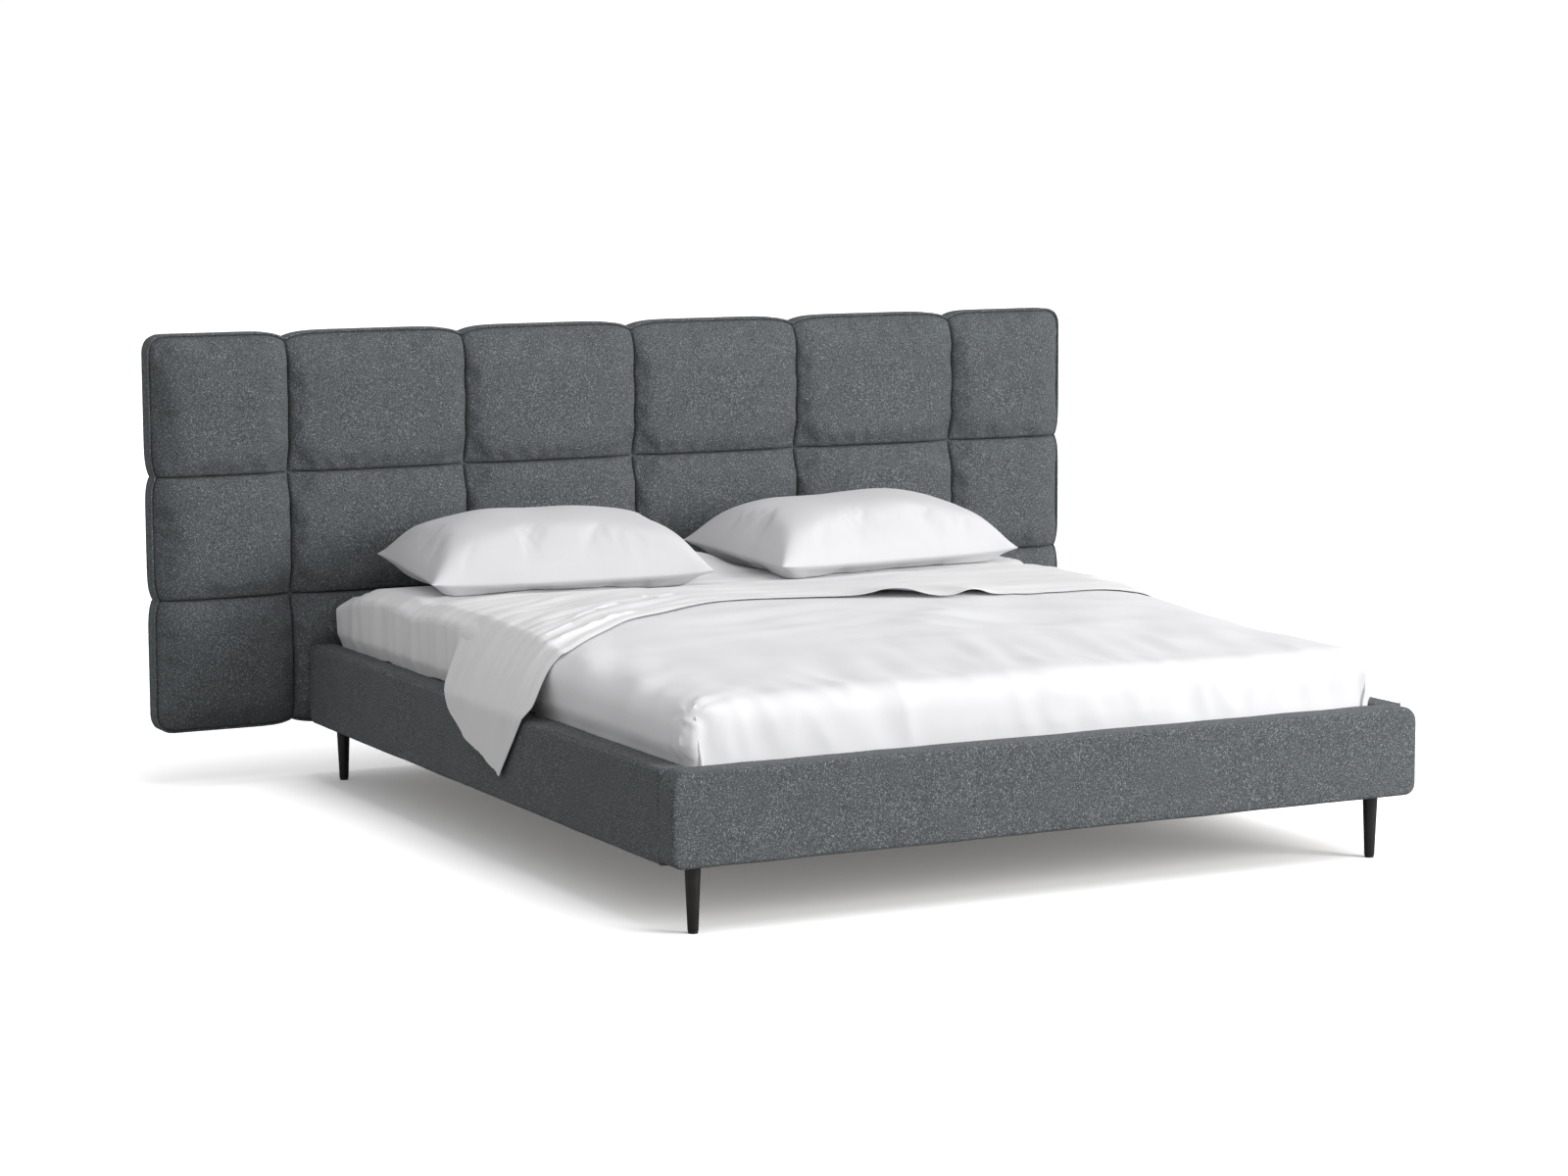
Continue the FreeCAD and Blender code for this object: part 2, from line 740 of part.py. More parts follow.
keep(
    group(
        "beam_saddles",
        [
            saddle("saddle_foot", FOOT_INNER),
            saddle("saddle_head", f"{HEAD_RAIL_FRONT} - sizes.saddle_length"),
        ],
    ),
    "beam_brackets",
)

# A slat is a shallow arch of birch ply.  Its ends sit in plastic holders on the ledge and on
# the centre beam.
SLAT_INNER_X = "sizes.holder_wall"
SLAT_OUTER_X = f"({INNER_SIDE} - sizes.holder_wall)"
SLAT_SPAN = evaluate(SLAT_OUTER_X) - evaluate(SLAT_INNER_X)
SLAT_BOTTOM = evaluate(LEDGE_TOP) + size("holder_wall")


def slat_shape(side, start_y):
    """One arched slat between the holders, from its front edge."""
    inner = side * evaluate(SLAT_INNER_X)
    outer = side * evaluate(SLAT_OUTER_X)
    middle = (inner + outer) / 2
    low_end = Vector(inner, start_y, SLAT_BOTTOM)
    high_end = Vector(inner, start_y, SLAT_BOTTOM + size("slat_thickness"))
    low_far = Vector(outer, start_y, SLAT_BOTTOM)
    high_far = Vector(outer, start_y, SLAT_BOTTOM + size("slat_thickness"))
    rise = Vector(0, 0, size("slat_rise"))
    low_middle = Vector(middle, start_y, SLAT_BOTTOM) + rise
    high_middle = low_middle + Vector(0, 0, size("slat_thickness"))
    edges = [
        Part.Arc(low_end, low_middle, low_far).toShape(),
        Part.LineSegment(low_far, high_far).toShape(),
        Part.Arc(high_far, high_middle, high_end).toShape(),
        Part.LineSegment(high_end, low_end).toShape(),
    ]
    return Part.Face(Part.Wire(edges)).extrude(Vector(0, size("slat_width"), 0))


def slat_starts():
    """The front edge of each slat, evenly spaced along the ledge."""
    pitch = evaluate(LEDGE_LENGTH) / SLATS_PER_SIDE
    first = evaluate(LEDGE_START) + (pitch - size("slat_width")) / 2
    return [first + number * pitch for number in range(SLATS_PER_SIDE)]


def holder_shape(side, at_ledge, start_y, slat):
    """A plastic cap on the ledge or the beam, with a pocket the shape of the slat's end."""
    wall = size("holder_wall")
    depth = size("holder_depth")
    if at_ledge:
        low_x = side * evaluate(INNER_SIDE) if side < 0 else evaluate(INNER_SIDE) - depth
    else:
        low_x = 0 if side > 0 else -depth
    height = size("slat_thickness") + size("slat_rise")
    corner = Vector(low_x, start_y - wall, evaluate(LEDGE_TOP))
    cap = Part.makeBox(depth, size("slat_width") + 2 * wall, wall + height, corner)
    return cap.cut(slat)


def shape_node(label, shape):
    """A sub-part whose shape is worked out by functions, from the sheet's sizes."""
    item = document.addObject("Part::Feature", label)
    item.Shape = shape
    item.Placement = Placement()
    return keep(item, label)


holders = []
for side, word in ((-1, "left"), (1, "right")):
    slats = []
    for start_y in slat_starts():
        slat = slat_shape(side, start_y)
        slats.append(slat)
        holders.append(holder_shape(side, True, start_y, slat))
        holders.append(holder_shape(side, False, start_y, slat))
    shape_node(f"slats_{word}", Part.makeCompound(slats))
shape_node("slat_holders", Part.makeCompound(holders))

# ---------------------------------------------------------------- legs

LEG_TOP = "(sizes.rail_bottom - sizes.plate_thickness)"
LEG_SPOTS = {
    "leg_front_left": ("-sizes.leg_x", "-sizes.leg_front_y"),
    "leg_front_right": ("sizes.leg_x", "-sizes.leg_front_y"),
    "leg_rear_left": ("-sizes.leg_x", "sizes.leg_rear_y"),
    "leg_rear_right": ("sizes.leg_x", "sizes.leg_rear_y"),
    "centre_leg": ("0", "0"),
}

plates = []
studs = []
glides = []
beam_holes = []
for label, (leg_x, leg_y) in LEG_SPOTS.items():
    top = LEG_TOP if label != "centre_leg" else "(sizes.ledge_bottom - sizes.plate_thickness)"
    body, sketch = drawn_body(
        f"{label}_turning",
        "XZ_Plane",
        [
            ("0", "sizes.glide_height"),
            ("sizes.leg_foot_radius", "sizes.glide_height"),
            ("sizes.leg_top_radius", top),
            ("0", top),
        ],
    )
    turn(body, sketch)
    place(body, (leg_x, leg_y, "0"))
    stud_low = (leg_x, leg_y, f"{top} - sizes.stud_depth")
    stud_length = "sizes.stud_depth + sizes.plate_thickness"
    studs.append(rod(f"{label}_stud", stud_low, "sizes.bolt_radius", stud_length, "Z"))
    socket = rod(f"{label}_socket", stud_low, "sizes.bolt_radius", stud_length, "Z")
    keep(cut(f"{label}_drilled", body, [socket]), label)
    extent = ("sizes.plate_size", "sizes.plate_size", "sizes.plate_thickness")
    if label == "centre_leg":
        extent = ("sizes.beam_width", "sizes.plate_size", "sizes.plate_thickness")
    low = (f"{leg_x} - {extent[0]} / 2", f"{leg_y} - sizes.plate_size / 2", top)
    plate = block(f"{label}_plate_blank", low, extent)
    thread = rod(f"{label}_thread", stud_low, "sizes.bolt_radius", stud_length, "Z")
    plates.append(cut(f"{label}_plate", plate, [thread]))
    glides.append(
        rod(
            f"{label}_glide",
            (leg_x, leg_y, "0"),
            f"sizes.leg_foot_radius - {GLIDE_INSET}",
            "sizes.glide_height",
            "Z",
        )
    )
keep(group("plates", plates), "leg_plates")
keep(group("studs", studs), "leg_studs")
keep(group("glides", glides), "leg_glides")
keep(beam, "centre_beam")

# ---------------------------------------------------------------- mattress and bedding

MATTRESS_LOW = ("-sizes.mattress_width / 2", MATTRESS_FOOT, SLAT_TOP)
MATTRESS_EXTENT = ("sizes.mattress_width", "sizes.mattress_length", "sizes.mattress_height")


def mattress_block(name, low, extent, corner, edge):
    """A block with rounded upright corners and a softer round along its top edge."""
    body = new_body(name)
    base = block_in(body, f"{name}_block", low, extent)
    height = base.Shape.BoundBox.ZLength
    top = base.Shape.BoundBox.ZMax
    upright = round_edges(
        body, f"{name}_corners", base, lambda box: same(box.ZLength, height), corner
    )
    round_edges(
        body,
        f"{name}_top",
        upright,
        lambda box: same(box.ZMin, top) and same(box.ZMax, top),
        edge,
    )
    return body


keep(
    mattress_block(
        "mattress", MATTRESS_LOW, MATTRESS_EXTENT, "sizes.mattress_corner", "sizes.mattress_edge"
    ),
    "mattress",
)


def grown(cloth):
    """The mattress block grown by a cloth's thickness at its sides and top."""
    low = (f"{MATTRESS_LOW[0]} - {cloth}", f"{MATTRESS_FOOT} - {cloth}", SLAT_TOP)
    extent = (
        f"sizes.mattress_width + 2 * {cloth}",
        f"sizes.mattress_length + 2 * {cloth}",
        f"sizes.mattress_height + {cloth}",
    )
    return low, extent


sheet_low, sheet_extent = grown("sizes.sheet_cloth")
sheet_skin = mattress_block(
    "sheet_skin",
    sheet_low,
    sheet_extent,
    "sizes.mattress_corner + sizes.sheet_cloth",
    "sizes.mattress_edge + sizes.sheet_cloth",
)
sheet_form = mattress_block(
    "sheet_form",
    MATTRESS_LOW,
    MATTRESS_EXTENT,
    "sizes.mattress_corner",
    "sizes.mattress_edge",
)
keep(cut("fitted_sheet_skin", sheet_skin, [sheet_form]), "fitted_sheet")

# The duvet lies over the foot two thirds of the bed, thin where it is tucked at the foot and
# lofted towards the middle, with skirts tucked between the mattress and the three rails.
DUVET_FOOT = f"({MATTRESS_FOOT} - sizes.sheet_cloth - sizes.duvet_foot_skirt)"
DUVET_SIDE = "(sizes.mattress_width / 2 + sizes.sheet_cloth + sizes.duvet_skirt)"
DUVET_HEAD = f"({DUVET_FOOT} + sizes.duvet_length)"
DUVET_TOP = f"({SHEET_TOP} + sizes.duvet_thickness)"
LOFT_TOP = f"({SHEET_TOP} + sizes.duvet_loft)"
LOFT_START = f"({DUVET_FOOT} + {LOFT_START_SHARE} * sizes.duvet_length)"
LOFT_FULL = f"({DUVET_FOOT} + {LOFT_FULL_SHARE} * sizes.duvet_length)"

duvet_top, duvet_top_profile = drawn_body(
    "duvet_top",
    "YZ_Plane",
    [
        (DUVET_FOOT, SHEET_TOP),
        (DUVET_HEAD, SHEET_TOP),
        (DUVET_HEAD, f"{SHEET_TOP} + sizes.duvet_head_thickness"),
        (LOFT_FULL, LOFT_TOP),
        (LOFT_START, f"{SHEET_TOP} + sizes.duvet_middle_thickness"),
        (DUVET_FOOT, DUVET_TOP),
    ],
)
pad(duvet_top, duvet_top_profile, f"2 * {DUVET_SIDE}", midplane=True)
skirt_height = f"({SHEET_TOP} - sizes.duvet_skirt_bottom)"
duvet_skirts = []
for side, word in ((-1, "left"), (1, "right")):
    skirt_x = f"-{DUVET_SIDE}"
    if side > 0:
        skirt_x = f"{DUVET_SIDE} - sizes.duvet_skirt + sizes.cloth_clearance"
    duvet_skirts.append(
        block(
            f"duvet_skirt_{word}",
            (skirt_x, DUVET_FOOT, "sizes.duvet_skirt_bottom"),
            (
                "sizes.duvet_skirt - sizes.cloth_clearance",
                f"{LOFT_FULL_SHARE} * sizes.duvet_length",
                skirt_height,
            ),
        )
    )
duvet_skirts.append(
    block(
        "duvet_skirt_foot",
        (f"-{DUVET_SIDE}", DUVET_FOOT, "sizes.duvet_skirt_bottom"),
        (
            f"2 * {DUVET_SIDE}",
            "sizes.duvet_foot_skirt - sizes.cloth_clearance",
            skirt_height,
        ),
    )
)
duvet = document.addObject("Part::MultiFuse", "duvet")
duvet.Shapes = [duvet_top, *duvet_skirts]
keep(duvet, "duvet")

# The top sheet lies over the lofted part of the duvet, from under the pillows to the middle of
# the bed, and one corner hangs over the left rail.
BAND_START = f"({LOFT_FULL} - {BAND_OVERLAP})"
BAND_END = f"({BAND_START} + sizes.top_sheet_length)"
CLEAR = "sizes.cloth_clearance"
CLOTH = "sizes.top_sheet_cloth"
BAND_LEVEL = f"({LOFT_TOP} + {CLEAR})"
RAIL_LEVEL = f"({RAIL_TOP} + {CLEAR})"
DROP_X = f"({FRAME_SIDE} + {CLEAR} + {CLOTH})"
top_band = block(
    "top_sheet_band",
    (f"-{DUVET_SIDE}", BAND_START, BAND_LEVEL),
    (f"2 * {DUVET_SIDE}", "sizes.top_sheet_length", CLOTH),
)
top_step = block(
    "top_sheet_step",
    (f"-{DUVET_SIDE} - {CLEAR} - {CLOTH}", BAND_START, RAIL_LEVEL),
    (CLOTH, "sizes.top_sheet_drop_length", f"{BAND_LEVEL} + {CLOTH} - {RAIL_LEVEL}"),
)
top_bridge = block(
    "top_sheet_bridge",
    (f"-{DUVET_SIDE} - {CLEAR} - {CLOTH}", BAND_START, BAND_LEVEL),
    (f"{CLEAR} + {CLOTH}", "sizes.top_sheet_drop_length", CLOTH),
)
top_over_rail = block(
    "top_sheet_over_rail",
    (f"-{DROP_X}", BAND_START, RAIL_LEVEL),
    (f"{DROP_X} - {DUVET_SIDE} - {CLEAR}", "sizes.top_sheet_drop_length", CLOTH),
)
top_drop = block(
    "top_sheet_drop_panel",
    (f"-{DROP_X}", BAND_START, f"{RAIL_LEVEL} - sizes.top_sheet_drop"),
    (CLOTH, "sizes.top_sheet_drop_length", f"sizes.top_sheet_drop + {CLOTH}"),
)
top_sheet = document.addObject("Part::MultiFuse", "top_sheet")
top_sheet.Shapes = [top_band, top_bridge, top_step, top_over_rail, top_drop]
keep(top_sheet, "top_sheet")


def pillow(label, centre_x, turn_angle):
    """A soft pillow: a flattened cushion form that leans towards the headboard."""
    body = new_body(label)
    form = body.newObject("PartDesign::AdditiveEllipsoid", f"{label}_form")
    form.setExpression("Radius2", "sizes.pillow_length / 2")
    form.setExpression("Radius3", "sizes.pillow_width / 2")
    form.setExpression("Radius1", "sizes.pillow_thickness / 2")
    lean = Rotation(Vector(1, 0, 0), size("pillow_tilt"))
    spin = Rotation(Vector(0, 0, 1), turn_angle)
    body.Placement = Placement(Vector(), spin.multiply(lean))
    place(body, (centre_x, "sizes.pillow_y", "sizes.pillow_height"))
    document.recompute()
    return keep(body, label)


pillow("pillow_left", "-sizes.pillow_left_x", -PILLOW_TURN)
pillow("pillow_right", "sizes.pillow_right_x", PILLOW_TURN)

# ---------------------------------------------------------------- check and write

document.recompute()
for item in document.Objects:
    if "Invalid" in item.State or "Error" in item.State:
        raise RuntimeError(f"{item.Name} failed: {item.State}")
os.makedirs("parts", exist_ok=True)
for item in nodes:
    if item.Shape.isNull() or not item.Shape.isValid():
        raise RuntimeError(f"{item.Label} has no valid shape")
    item.Shape.exportStep(f"parts/{item.Label}.step")
print(f"{len(nodes)} nodes written")
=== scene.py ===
import json
import logging
import math
from dataclasses import dataclass, field
from enum import Enum
from typing import Callable, Sequence

import bmesh
import bpy
import numpy as np
from mathutils import Euler, Matrix, Vector, noise
from mathutils.bvhtree import BVHTree


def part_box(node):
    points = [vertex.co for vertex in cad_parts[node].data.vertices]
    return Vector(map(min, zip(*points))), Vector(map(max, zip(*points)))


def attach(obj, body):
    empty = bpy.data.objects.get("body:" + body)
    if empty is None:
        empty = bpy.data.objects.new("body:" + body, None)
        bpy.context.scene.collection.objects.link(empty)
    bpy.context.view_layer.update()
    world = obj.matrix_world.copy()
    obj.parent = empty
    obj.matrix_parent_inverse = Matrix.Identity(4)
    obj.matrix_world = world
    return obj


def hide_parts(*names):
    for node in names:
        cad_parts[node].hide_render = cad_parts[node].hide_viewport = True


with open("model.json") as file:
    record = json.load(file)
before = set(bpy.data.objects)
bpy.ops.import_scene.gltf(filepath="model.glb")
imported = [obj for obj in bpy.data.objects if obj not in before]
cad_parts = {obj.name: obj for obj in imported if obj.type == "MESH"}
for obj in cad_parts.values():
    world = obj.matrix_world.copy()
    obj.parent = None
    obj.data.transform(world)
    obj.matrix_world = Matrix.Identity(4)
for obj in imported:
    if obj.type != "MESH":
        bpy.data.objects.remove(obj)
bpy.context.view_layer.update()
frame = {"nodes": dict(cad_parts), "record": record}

# An upholstered bed: a quilted headboard of heathered wool over foam, padded rails on turned
# black legs, a sprung slat base, and a mattress made up in white cotton.  Metres, +Z up, +Y
# towards the headboard, the origin on the floor under the middle of the bed.

LOG = logging.getLogger("bed")
# The bedding bulges freely from this height up, fully so over this much more.
BULGE_FROM = 0.338
BULGE_RISE = 0.03
# Towards the head from this place the top sheet's side is tucked in.
TUCKED_FROM = 0.14
# Length of the top sheet's fall from the bedding's edge to the rail's.
SLOPE_LENGTH = 0.139


class Body(Enum):
    """The bodies that pieces ride on."""

    FRAME = "bed_frame"
    MATTRESS = "mattress"
    DUVET = "duvet"
    TOP_SHEET = "top_sheet"
    PILLOW_LEFT = "pillow_left"
    PILLOW_RIGHT = "pillow_right"


class Axis(Enum):
    """The direction that timber grain runs in."""

    X = 0
    Y = 1
    Z = 2


# ------------------------------------------------------------------ materials


def linear(colour: str) -> tuple[float, float, float, float]:
    """Turns an sRGB hex colour into linear RGBA.

    Args:
        colour: Six hex digits after a hash.

    Returns:
        Four linear numbers, the last one 1.
    """
    parts = [int(colour[start : start + 2], 16) / 255 for start in (1, 3, 5)]
    flat = [c / 12.92 if c <= 0.04045 else ((c + 0.055) / 1.055) ** 2.4 for c in parts]
    return (*flat, 1.0)


def add(
    tree: bpy.types.NodeTree,
    kind: str,
    links: dict | None = None,
    values: dict | None = None,
    **settings: object,
) -> bpy.types.Node:
    """Adds a node with its settings, values and incoming links.

    Args:
        tree: The node tree.
        kind: The node's type.
        links: Input socket to the output socket it reads.
        values: Input socket to a fixed value.
        **settings: Properties of the node.

    Returns:
        The new node.
    """
    node = tree.nodes.new(kind)
    for name, value in settings.items():
        setattr(node, name, value)
    for socket, value in (values or {}).items():
        node.inputs[socket].default_value = value
    for socket, source in (links or {}).items():
        tree.links.new(source, node.inputs[socket])
    return node


def ramp(
    tree: bpy.types.NodeTree, source: bpy.types.NodeSocket, stops: Sequence[tuple[float, str]]
) -> bpy.types.Node:
    """Adds a colour ramp.

    Args:
        tree: The node tree.
        source: The socket that drives it.
        stops: Pairs of position and hex colour, at least two.

    Returns:
        The ramp's node.
    """
    node = add(tree, "ShaderNodeValToRGB", links={"Fac": source})
    while len(node.color_ramp.elements) < len(stops):
        node.color_ramp.elements.new(0.5)
    for element, (position, colour) in zip(node.color_ramp.elements, stops):
        element.position = position
        element.color = linear(colour)
    return node


def blank(name: str) -> tuple[bpy.types.Material, bpy.types.NodeTree, bpy.types.Node]:
    """Makes a material with only its shader and output.

    Args:
        name: The material's name.

    Returns:
        The material, its tree and its shader.
    """
    material = bpy.data.materials.new(name)
    material.use_nodes = True
    tree = material.node_tree
    tree.nodes.clear()
    shader = add(tree, "ShaderNodeBsdfPrincipled")
    add(tree, "ShaderNodeOutputMaterial", links={"Surface": shader.outputs["BSDF"]})
    return material, tree, shader


@dataclass(frozen=True)
class HeatheredWool:
    """Felted wool-mix upholstery cloth: short pale and dark fibres spun together, so it shows
    a fine salt-and-pepper fleck and a soft, dull nap."""

    name: str
    dark: str
    middle: str
    pale: str
    fleck_mm: float = 2.8
    nap_mm: float = 1.1
    bump_mm: float = 0.45

    def build(self) -> bpy.types.Material:
        """Returns the material."""
        material, tree, shader = blank(self.name)
        place = add(tree, "ShaderNodeTexCoord").outputs["Object"]
        fleck = add(
            tree,
            "ShaderNodeTexNoise",
            links={"Vector": place},
            values={"Scale": 1000 / self.fleck_mm, "Detail": 2.0, "Roughness": 0.8},
        )
        tone = ramp(
            tree,
            fleck.outputs["Fac"],
            [(0.36, self.dark), (0.47, self.middle), (0.57, self.middle), (0.68, self.pale)],
        )
        cloud = add(
            tree,
            "ShaderNodeTexNoise",
            links={"Vector": place},
            values={"Scale": 14.0, "Detail": 2.0},
        )
        shade = ramp(tree, cloud.outputs["Fac"], [(0.3, "#f6f6f6"), (0.7, "#ffffff")])
        colour = add(
            tree,
            "ShaderNodeMix",
            data_type="RGBA",
            blend_type="MULTIPLY",
            values={"Factor": 1.0},
            links={"A": tone.outputs["Color"], "B": shade.outputs["Color"]},
        )
        nap = add(
            tree,
            "ShaderNodeTexNoise",
            links={"Vector": place},
            values={"Scale": 1000 / self.nap_mm, "Detail": 2.0},
        )
        height = add(
            tree,
            "ShaderNodeMath",
            operation="ADD",
            links={0: fleck.outputs["Fac"], 1: nap.outputs["Fac"]},
        )
        bump = add(
            tree,
            "ShaderNodeBump",
            links={"Height": height.outputs["Value"]},
            values={"Strength": 0.7, "Distance": self.bump_mm / 1000},
        )
        tree.links.new(colour.outputs["Result"], shader.inputs["Base Color"])
        tree.links.new(bump.outputs["Normal"], shader.inputs["Normal"])
        shader.inputs["Roughness"].default_value = 0.92
        shader.inputs["IOR"].default_value = 1.45
        shader.inputs["Specular IOR Level"].default_value = 0.12
        shader.inputs["Sheen Weight"].default_value = 0.06
        shader.inputs["Sheen Roughness"].default_value = 0.45
        return material


@dataclass(frozen=True)
class WovenCotton:
    """Plain-woven bleached cotton: nearly white, a fine thread crossing that is drawn about
    three times coarser than real so that it shows, and small creases left from folding."""

    name: str
    colour: str
    shade: str
    thread_mm: float = 1.2
    crease_mm: float = 26.0
    weave_bump_mm: float = 0.05
    crease_bump_mm: float = 0.5

    def build(self) -> bpy.types.Material:
        """Returns the material."""
        material, tree, shader = blank(self.name)
        place = add(tree, "ShaderNodeTexCoord").outputs["Object"]
        heights = []
        for direction in ("X", "Y"):
            heights.append(
                add(
                    tree,
                    "ShaderNodeTexWave",
                    links={"Vector": place},
                    values={"Scale": 1000 / self.thread_mm / math.tau, "Distortion": 0.6},
                    wave_type="BANDS",
                    bands_direction=direction,
                )
            )
        weave = add(
            tree,
            "ShaderNodeMath",
            operation="MAXIMUM",
            links={0: heights[0].outputs["Fac"], 1: heights[1].outputs["Fac"]},
        )
        fine = add(
            tree,
            "ShaderNodeBump",
            links={"Height": weave.outputs["Value"]},
            values={"Strength": 0.4, "Distance": self.weave_bump_mm / 1000},
        )
        crease = add(
            tree,
            "ShaderNodeTexNoise",
            links={"Vector": place},
            values={"Scale": 1000 / self.crease_mm, "Detail": 4.0, "Distortion": 0.8},
        )
        soft = add(
            tree,
            "ShaderNodeBump",
            links={"Height": crease.outputs["Fac"], "Normal": fine.outputs["Normal"]},
            values={"Strength": 0.35, "Distance": self.crease_bump_mm / 1000},
        )
        cloud = add(
            tree,
            "ShaderNodeTexNoise",
            links={"Vector": place},
            values={"Scale": 5.0, "Detail": 3.0},
        )
        tone = ramp(tree, cloud.outputs["Fac"], [(0.3, self.shade), (0.65, self.colour)])
        tree.links.new(tone.outputs["Color"], shader.inputs["Base Color"])
        tree.links.new(soft.outputs["Normal"], shader.inputs["Normal"])
        shader.inputs["Roughness"].default_value = 0.82
        shader.inputs["IOR"].default_value = 1.47
        shader.inputs["Specular IOR Level"].default_value = 0.3
        shader.inputs["Sheen Weight"].default_value = 0.12
        shader.inputs["Sheen Roughness"].default_value = 0.5
        return material


@dataclass(frozen=True)
class PlanedWood:
    """Planed softwood or veneer: long grain lines along one axis, fine pores, a dull surface."""

    name: str
    pale: str
    dark: str
    grain: Axis
    ring_mm: float = 9.0
    roughness: float = 0.6

    def build(self) -> bpy.types.Material:
        """Returns the material."""
        material, tree, shader = blank(self.name)
        place = add(tree, "ShaderNodeTexCoord").outputs["Object"]
        stretch = [1.0, 1.0, 1.0]
        stretch[self.grain.value] = 0.06
        mapping = add(
            tree, "ShaderNodeMapping", links={"Vector": place}, values={"Scale": stretch}
        )
        rings = add(
            tree,
            "ShaderNodeTexNoise",
            links={"Vector": mapping.outputs["Vector"]},
            values={"Scale": 1000 / self.ring_mm, "Detail": 4.0, "Distortion": 0.5},
        )
        tone = ramp(tree, rings.outputs["Fac"], [(0.35, self.dark), (0.6, self.pale)])
        bump = add(
            tree,
            "ShaderNodeBump",
            links={"Height": rings.outputs["Fac"]},
            values={"Strength": 0.3, "Distance": 0.0002},
        )
        tree.links.new(tone.outputs["Color"], shader.inputs["Base Color"])
        tree.links.new(bump.outputs["Normal"], shader.inputs["Normal"])
        shader.inputs["Roughness"].default_value = self.roughness
        return material


@dataclass(frozen=True)
class HardFinish:
    """A hard surface, metal, plastic or lacquer: one colour with faint mottling and a fine
    texture that breaks up its highlights."""

    name: str
    colour: str
    worn: str
    roughness: float
    metallic: float = 0.0
    grain_mm: float = 1.5
    bump_mm: float = 0.02
    coat: float = 0.0

    def build(self) -> bpy.types.Material:
        """Returns the material."""
        material, tree, shader = blank(self.name)
        place = add(tree, "ShaderNodeTexCoord").outputs["Object"]
        mottle = add(
            tree,
            "ShaderNodeTexNoise",
            links={"Vector": place},
            values={"Scale": 40.0, "Detail": 3.0},
        )
        tone = ramp(tree, mottle.outputs["Fac"], [(0.35, self.colour), (0.75, self.worn)])
        gloss = add(
            tree,
            "ShaderNodeMapRange",
            links={"Value": mottle.outputs["Fac"]},
            values={"To Min": self.roughness * 0.85, "To Max": self.roughness * 1.2},
        )
        peel = add(
            tree,
            "ShaderNodeTexNoise",
            links={"Vector": place},
            values={"Scale": 1000 / self.grain_mm, "Detail": 1.0},
        )
        bump = add(
            tree,
            "ShaderNodeBump",
            links={"Height": peel.outputs["Fac"]},
            values={"Strength": 0.3, "Distance": self.bump_mm / 1000},
        )
        tree.links.new(tone.outputs["Color"], shader.inputs["Base Color"])
        tree.links.new(gloss.outputs["Result"], shader.inputs["Roughness"])
        tree.links.new(bump.outputs["Normal"], shader.inputs["Normal"])
        shader.inputs["Metallic"].default_value = self.metallic
        shader.inputs["Coat Weight"].default_value = self.coat
        return material


# Record slot to the finish that its pieces take.
FINISHES = {
    "upholstery": HeatheredWool("heathered_slate_wool", "#3c3f41", "#575b5d", "#a0a4a6"),
    "dust_cloth": HeatheredWool("black_spunbond_cloth", "#101010", "#191919", "#262626", 5.0),
    "plywood": PlanedWood("poplar_plywood", "#c4ad8a", "#a78d6a", Axis.X, 14.0),
    "timber": PlanedWood("planed_pine", "#cdb28a", "#b08f66", Axis.X, 8.0),
    "slat_ply": PlanedWood("birch_slat_ply", "#d8c4a2", "#bfa57c", Axis.X, 5.0, 0.45),
    "holder_plastic": HardFinish("black_polypropylene", "#161616", "#232323", 0.5),
    "glide_plastic": HardFinish("black_nylon_glide", "#121212", "#1c1c1c", 0.55),
    "plate_steel": HardFinish("black_powder_coat", "#141414", "#202020", 0.5, 0.0, 0.8, 0.04),
    "bolt_steel": HardFinish("zinc_bolt_steel", "#9a9c9e", "#b4b6b8", 0.35, 1.0),
    "bracket_steel": HardFinish("zinc_plated_steel", "#a3a6a9", "#bcbfc2", 0.42, 1.0),
    "leg_lacquer": HardFinish(
        "black_satin_lacquer", "#151515", "#1d1d1d", 0.38, 0.0, 2.0, 0.02, 0.15
    ),
    "ticking": WovenCotton("cotton_ticking", "#e2e2de", "#d3d4d0", 2.0),
    "fitted_sheet_cotton": WovenCotton("cotton_jersey_white", "#e8e8e9", "#e3e3e5"),
    "duvet_cotton": WovenCotton("cotton_sateen_white", "#dddddf", "#d8d8da"),
    "top_sheet_cotton": WovenCotton("cotton_percale_white", "#dededf", "#d9d9db"),
    # The pillows' cotton is set darker than the other white cotton. This is painted shade that
    # holds back the key light falling on their front slopes.
    "pillow_cotton": WovenCotton("cotton_pillow_white_painted_shade", "#cdcdcf", "#c8c8ca"),
}
MATERIALS: dict[str, bpy.types.Material] = {}


def material_for(slot: str) -> bpy.types.Material:
    """Returns the slot's material, made the first time it is asked for."""
    if slot not in MATERIALS:
        MATERIALS[slot] = FINISHES[slot].build()
    return MATERIALS[slot]


# ------------------------------------------------------------------ mesh helpers


def alone(piece: bpy.types.Object) -> None:
    """Selects one object and makes it active."""
    bpy.ops.object.select_all(action="DESELECT")
    piece.select_set(True)
    bpy.context.view_layer.objects.active = piece


def mesh_piece(
    name: str, points: np.ndarray, faces: Sequence[Sequence[int]]
) -> bpy.types.Object:
    """Makes an object from points and faces.

    Args:
        name: The piece's name.
        points: An n by 3 array, in metres.
        faces: Indices of each face's corners.

    Returns:
        The new object, in the scene.
    """
    mesh = bpy.data.meshes.new(name)
    mesh.from_pydata([tuple(map(float, p)) for p in points], [], [tuple(f) for f in faces])
    mesh.update()
    piece = bpy.data.objects.new(name, mesh)
    bpy.context.collection.objects.link(piece)
    return piece


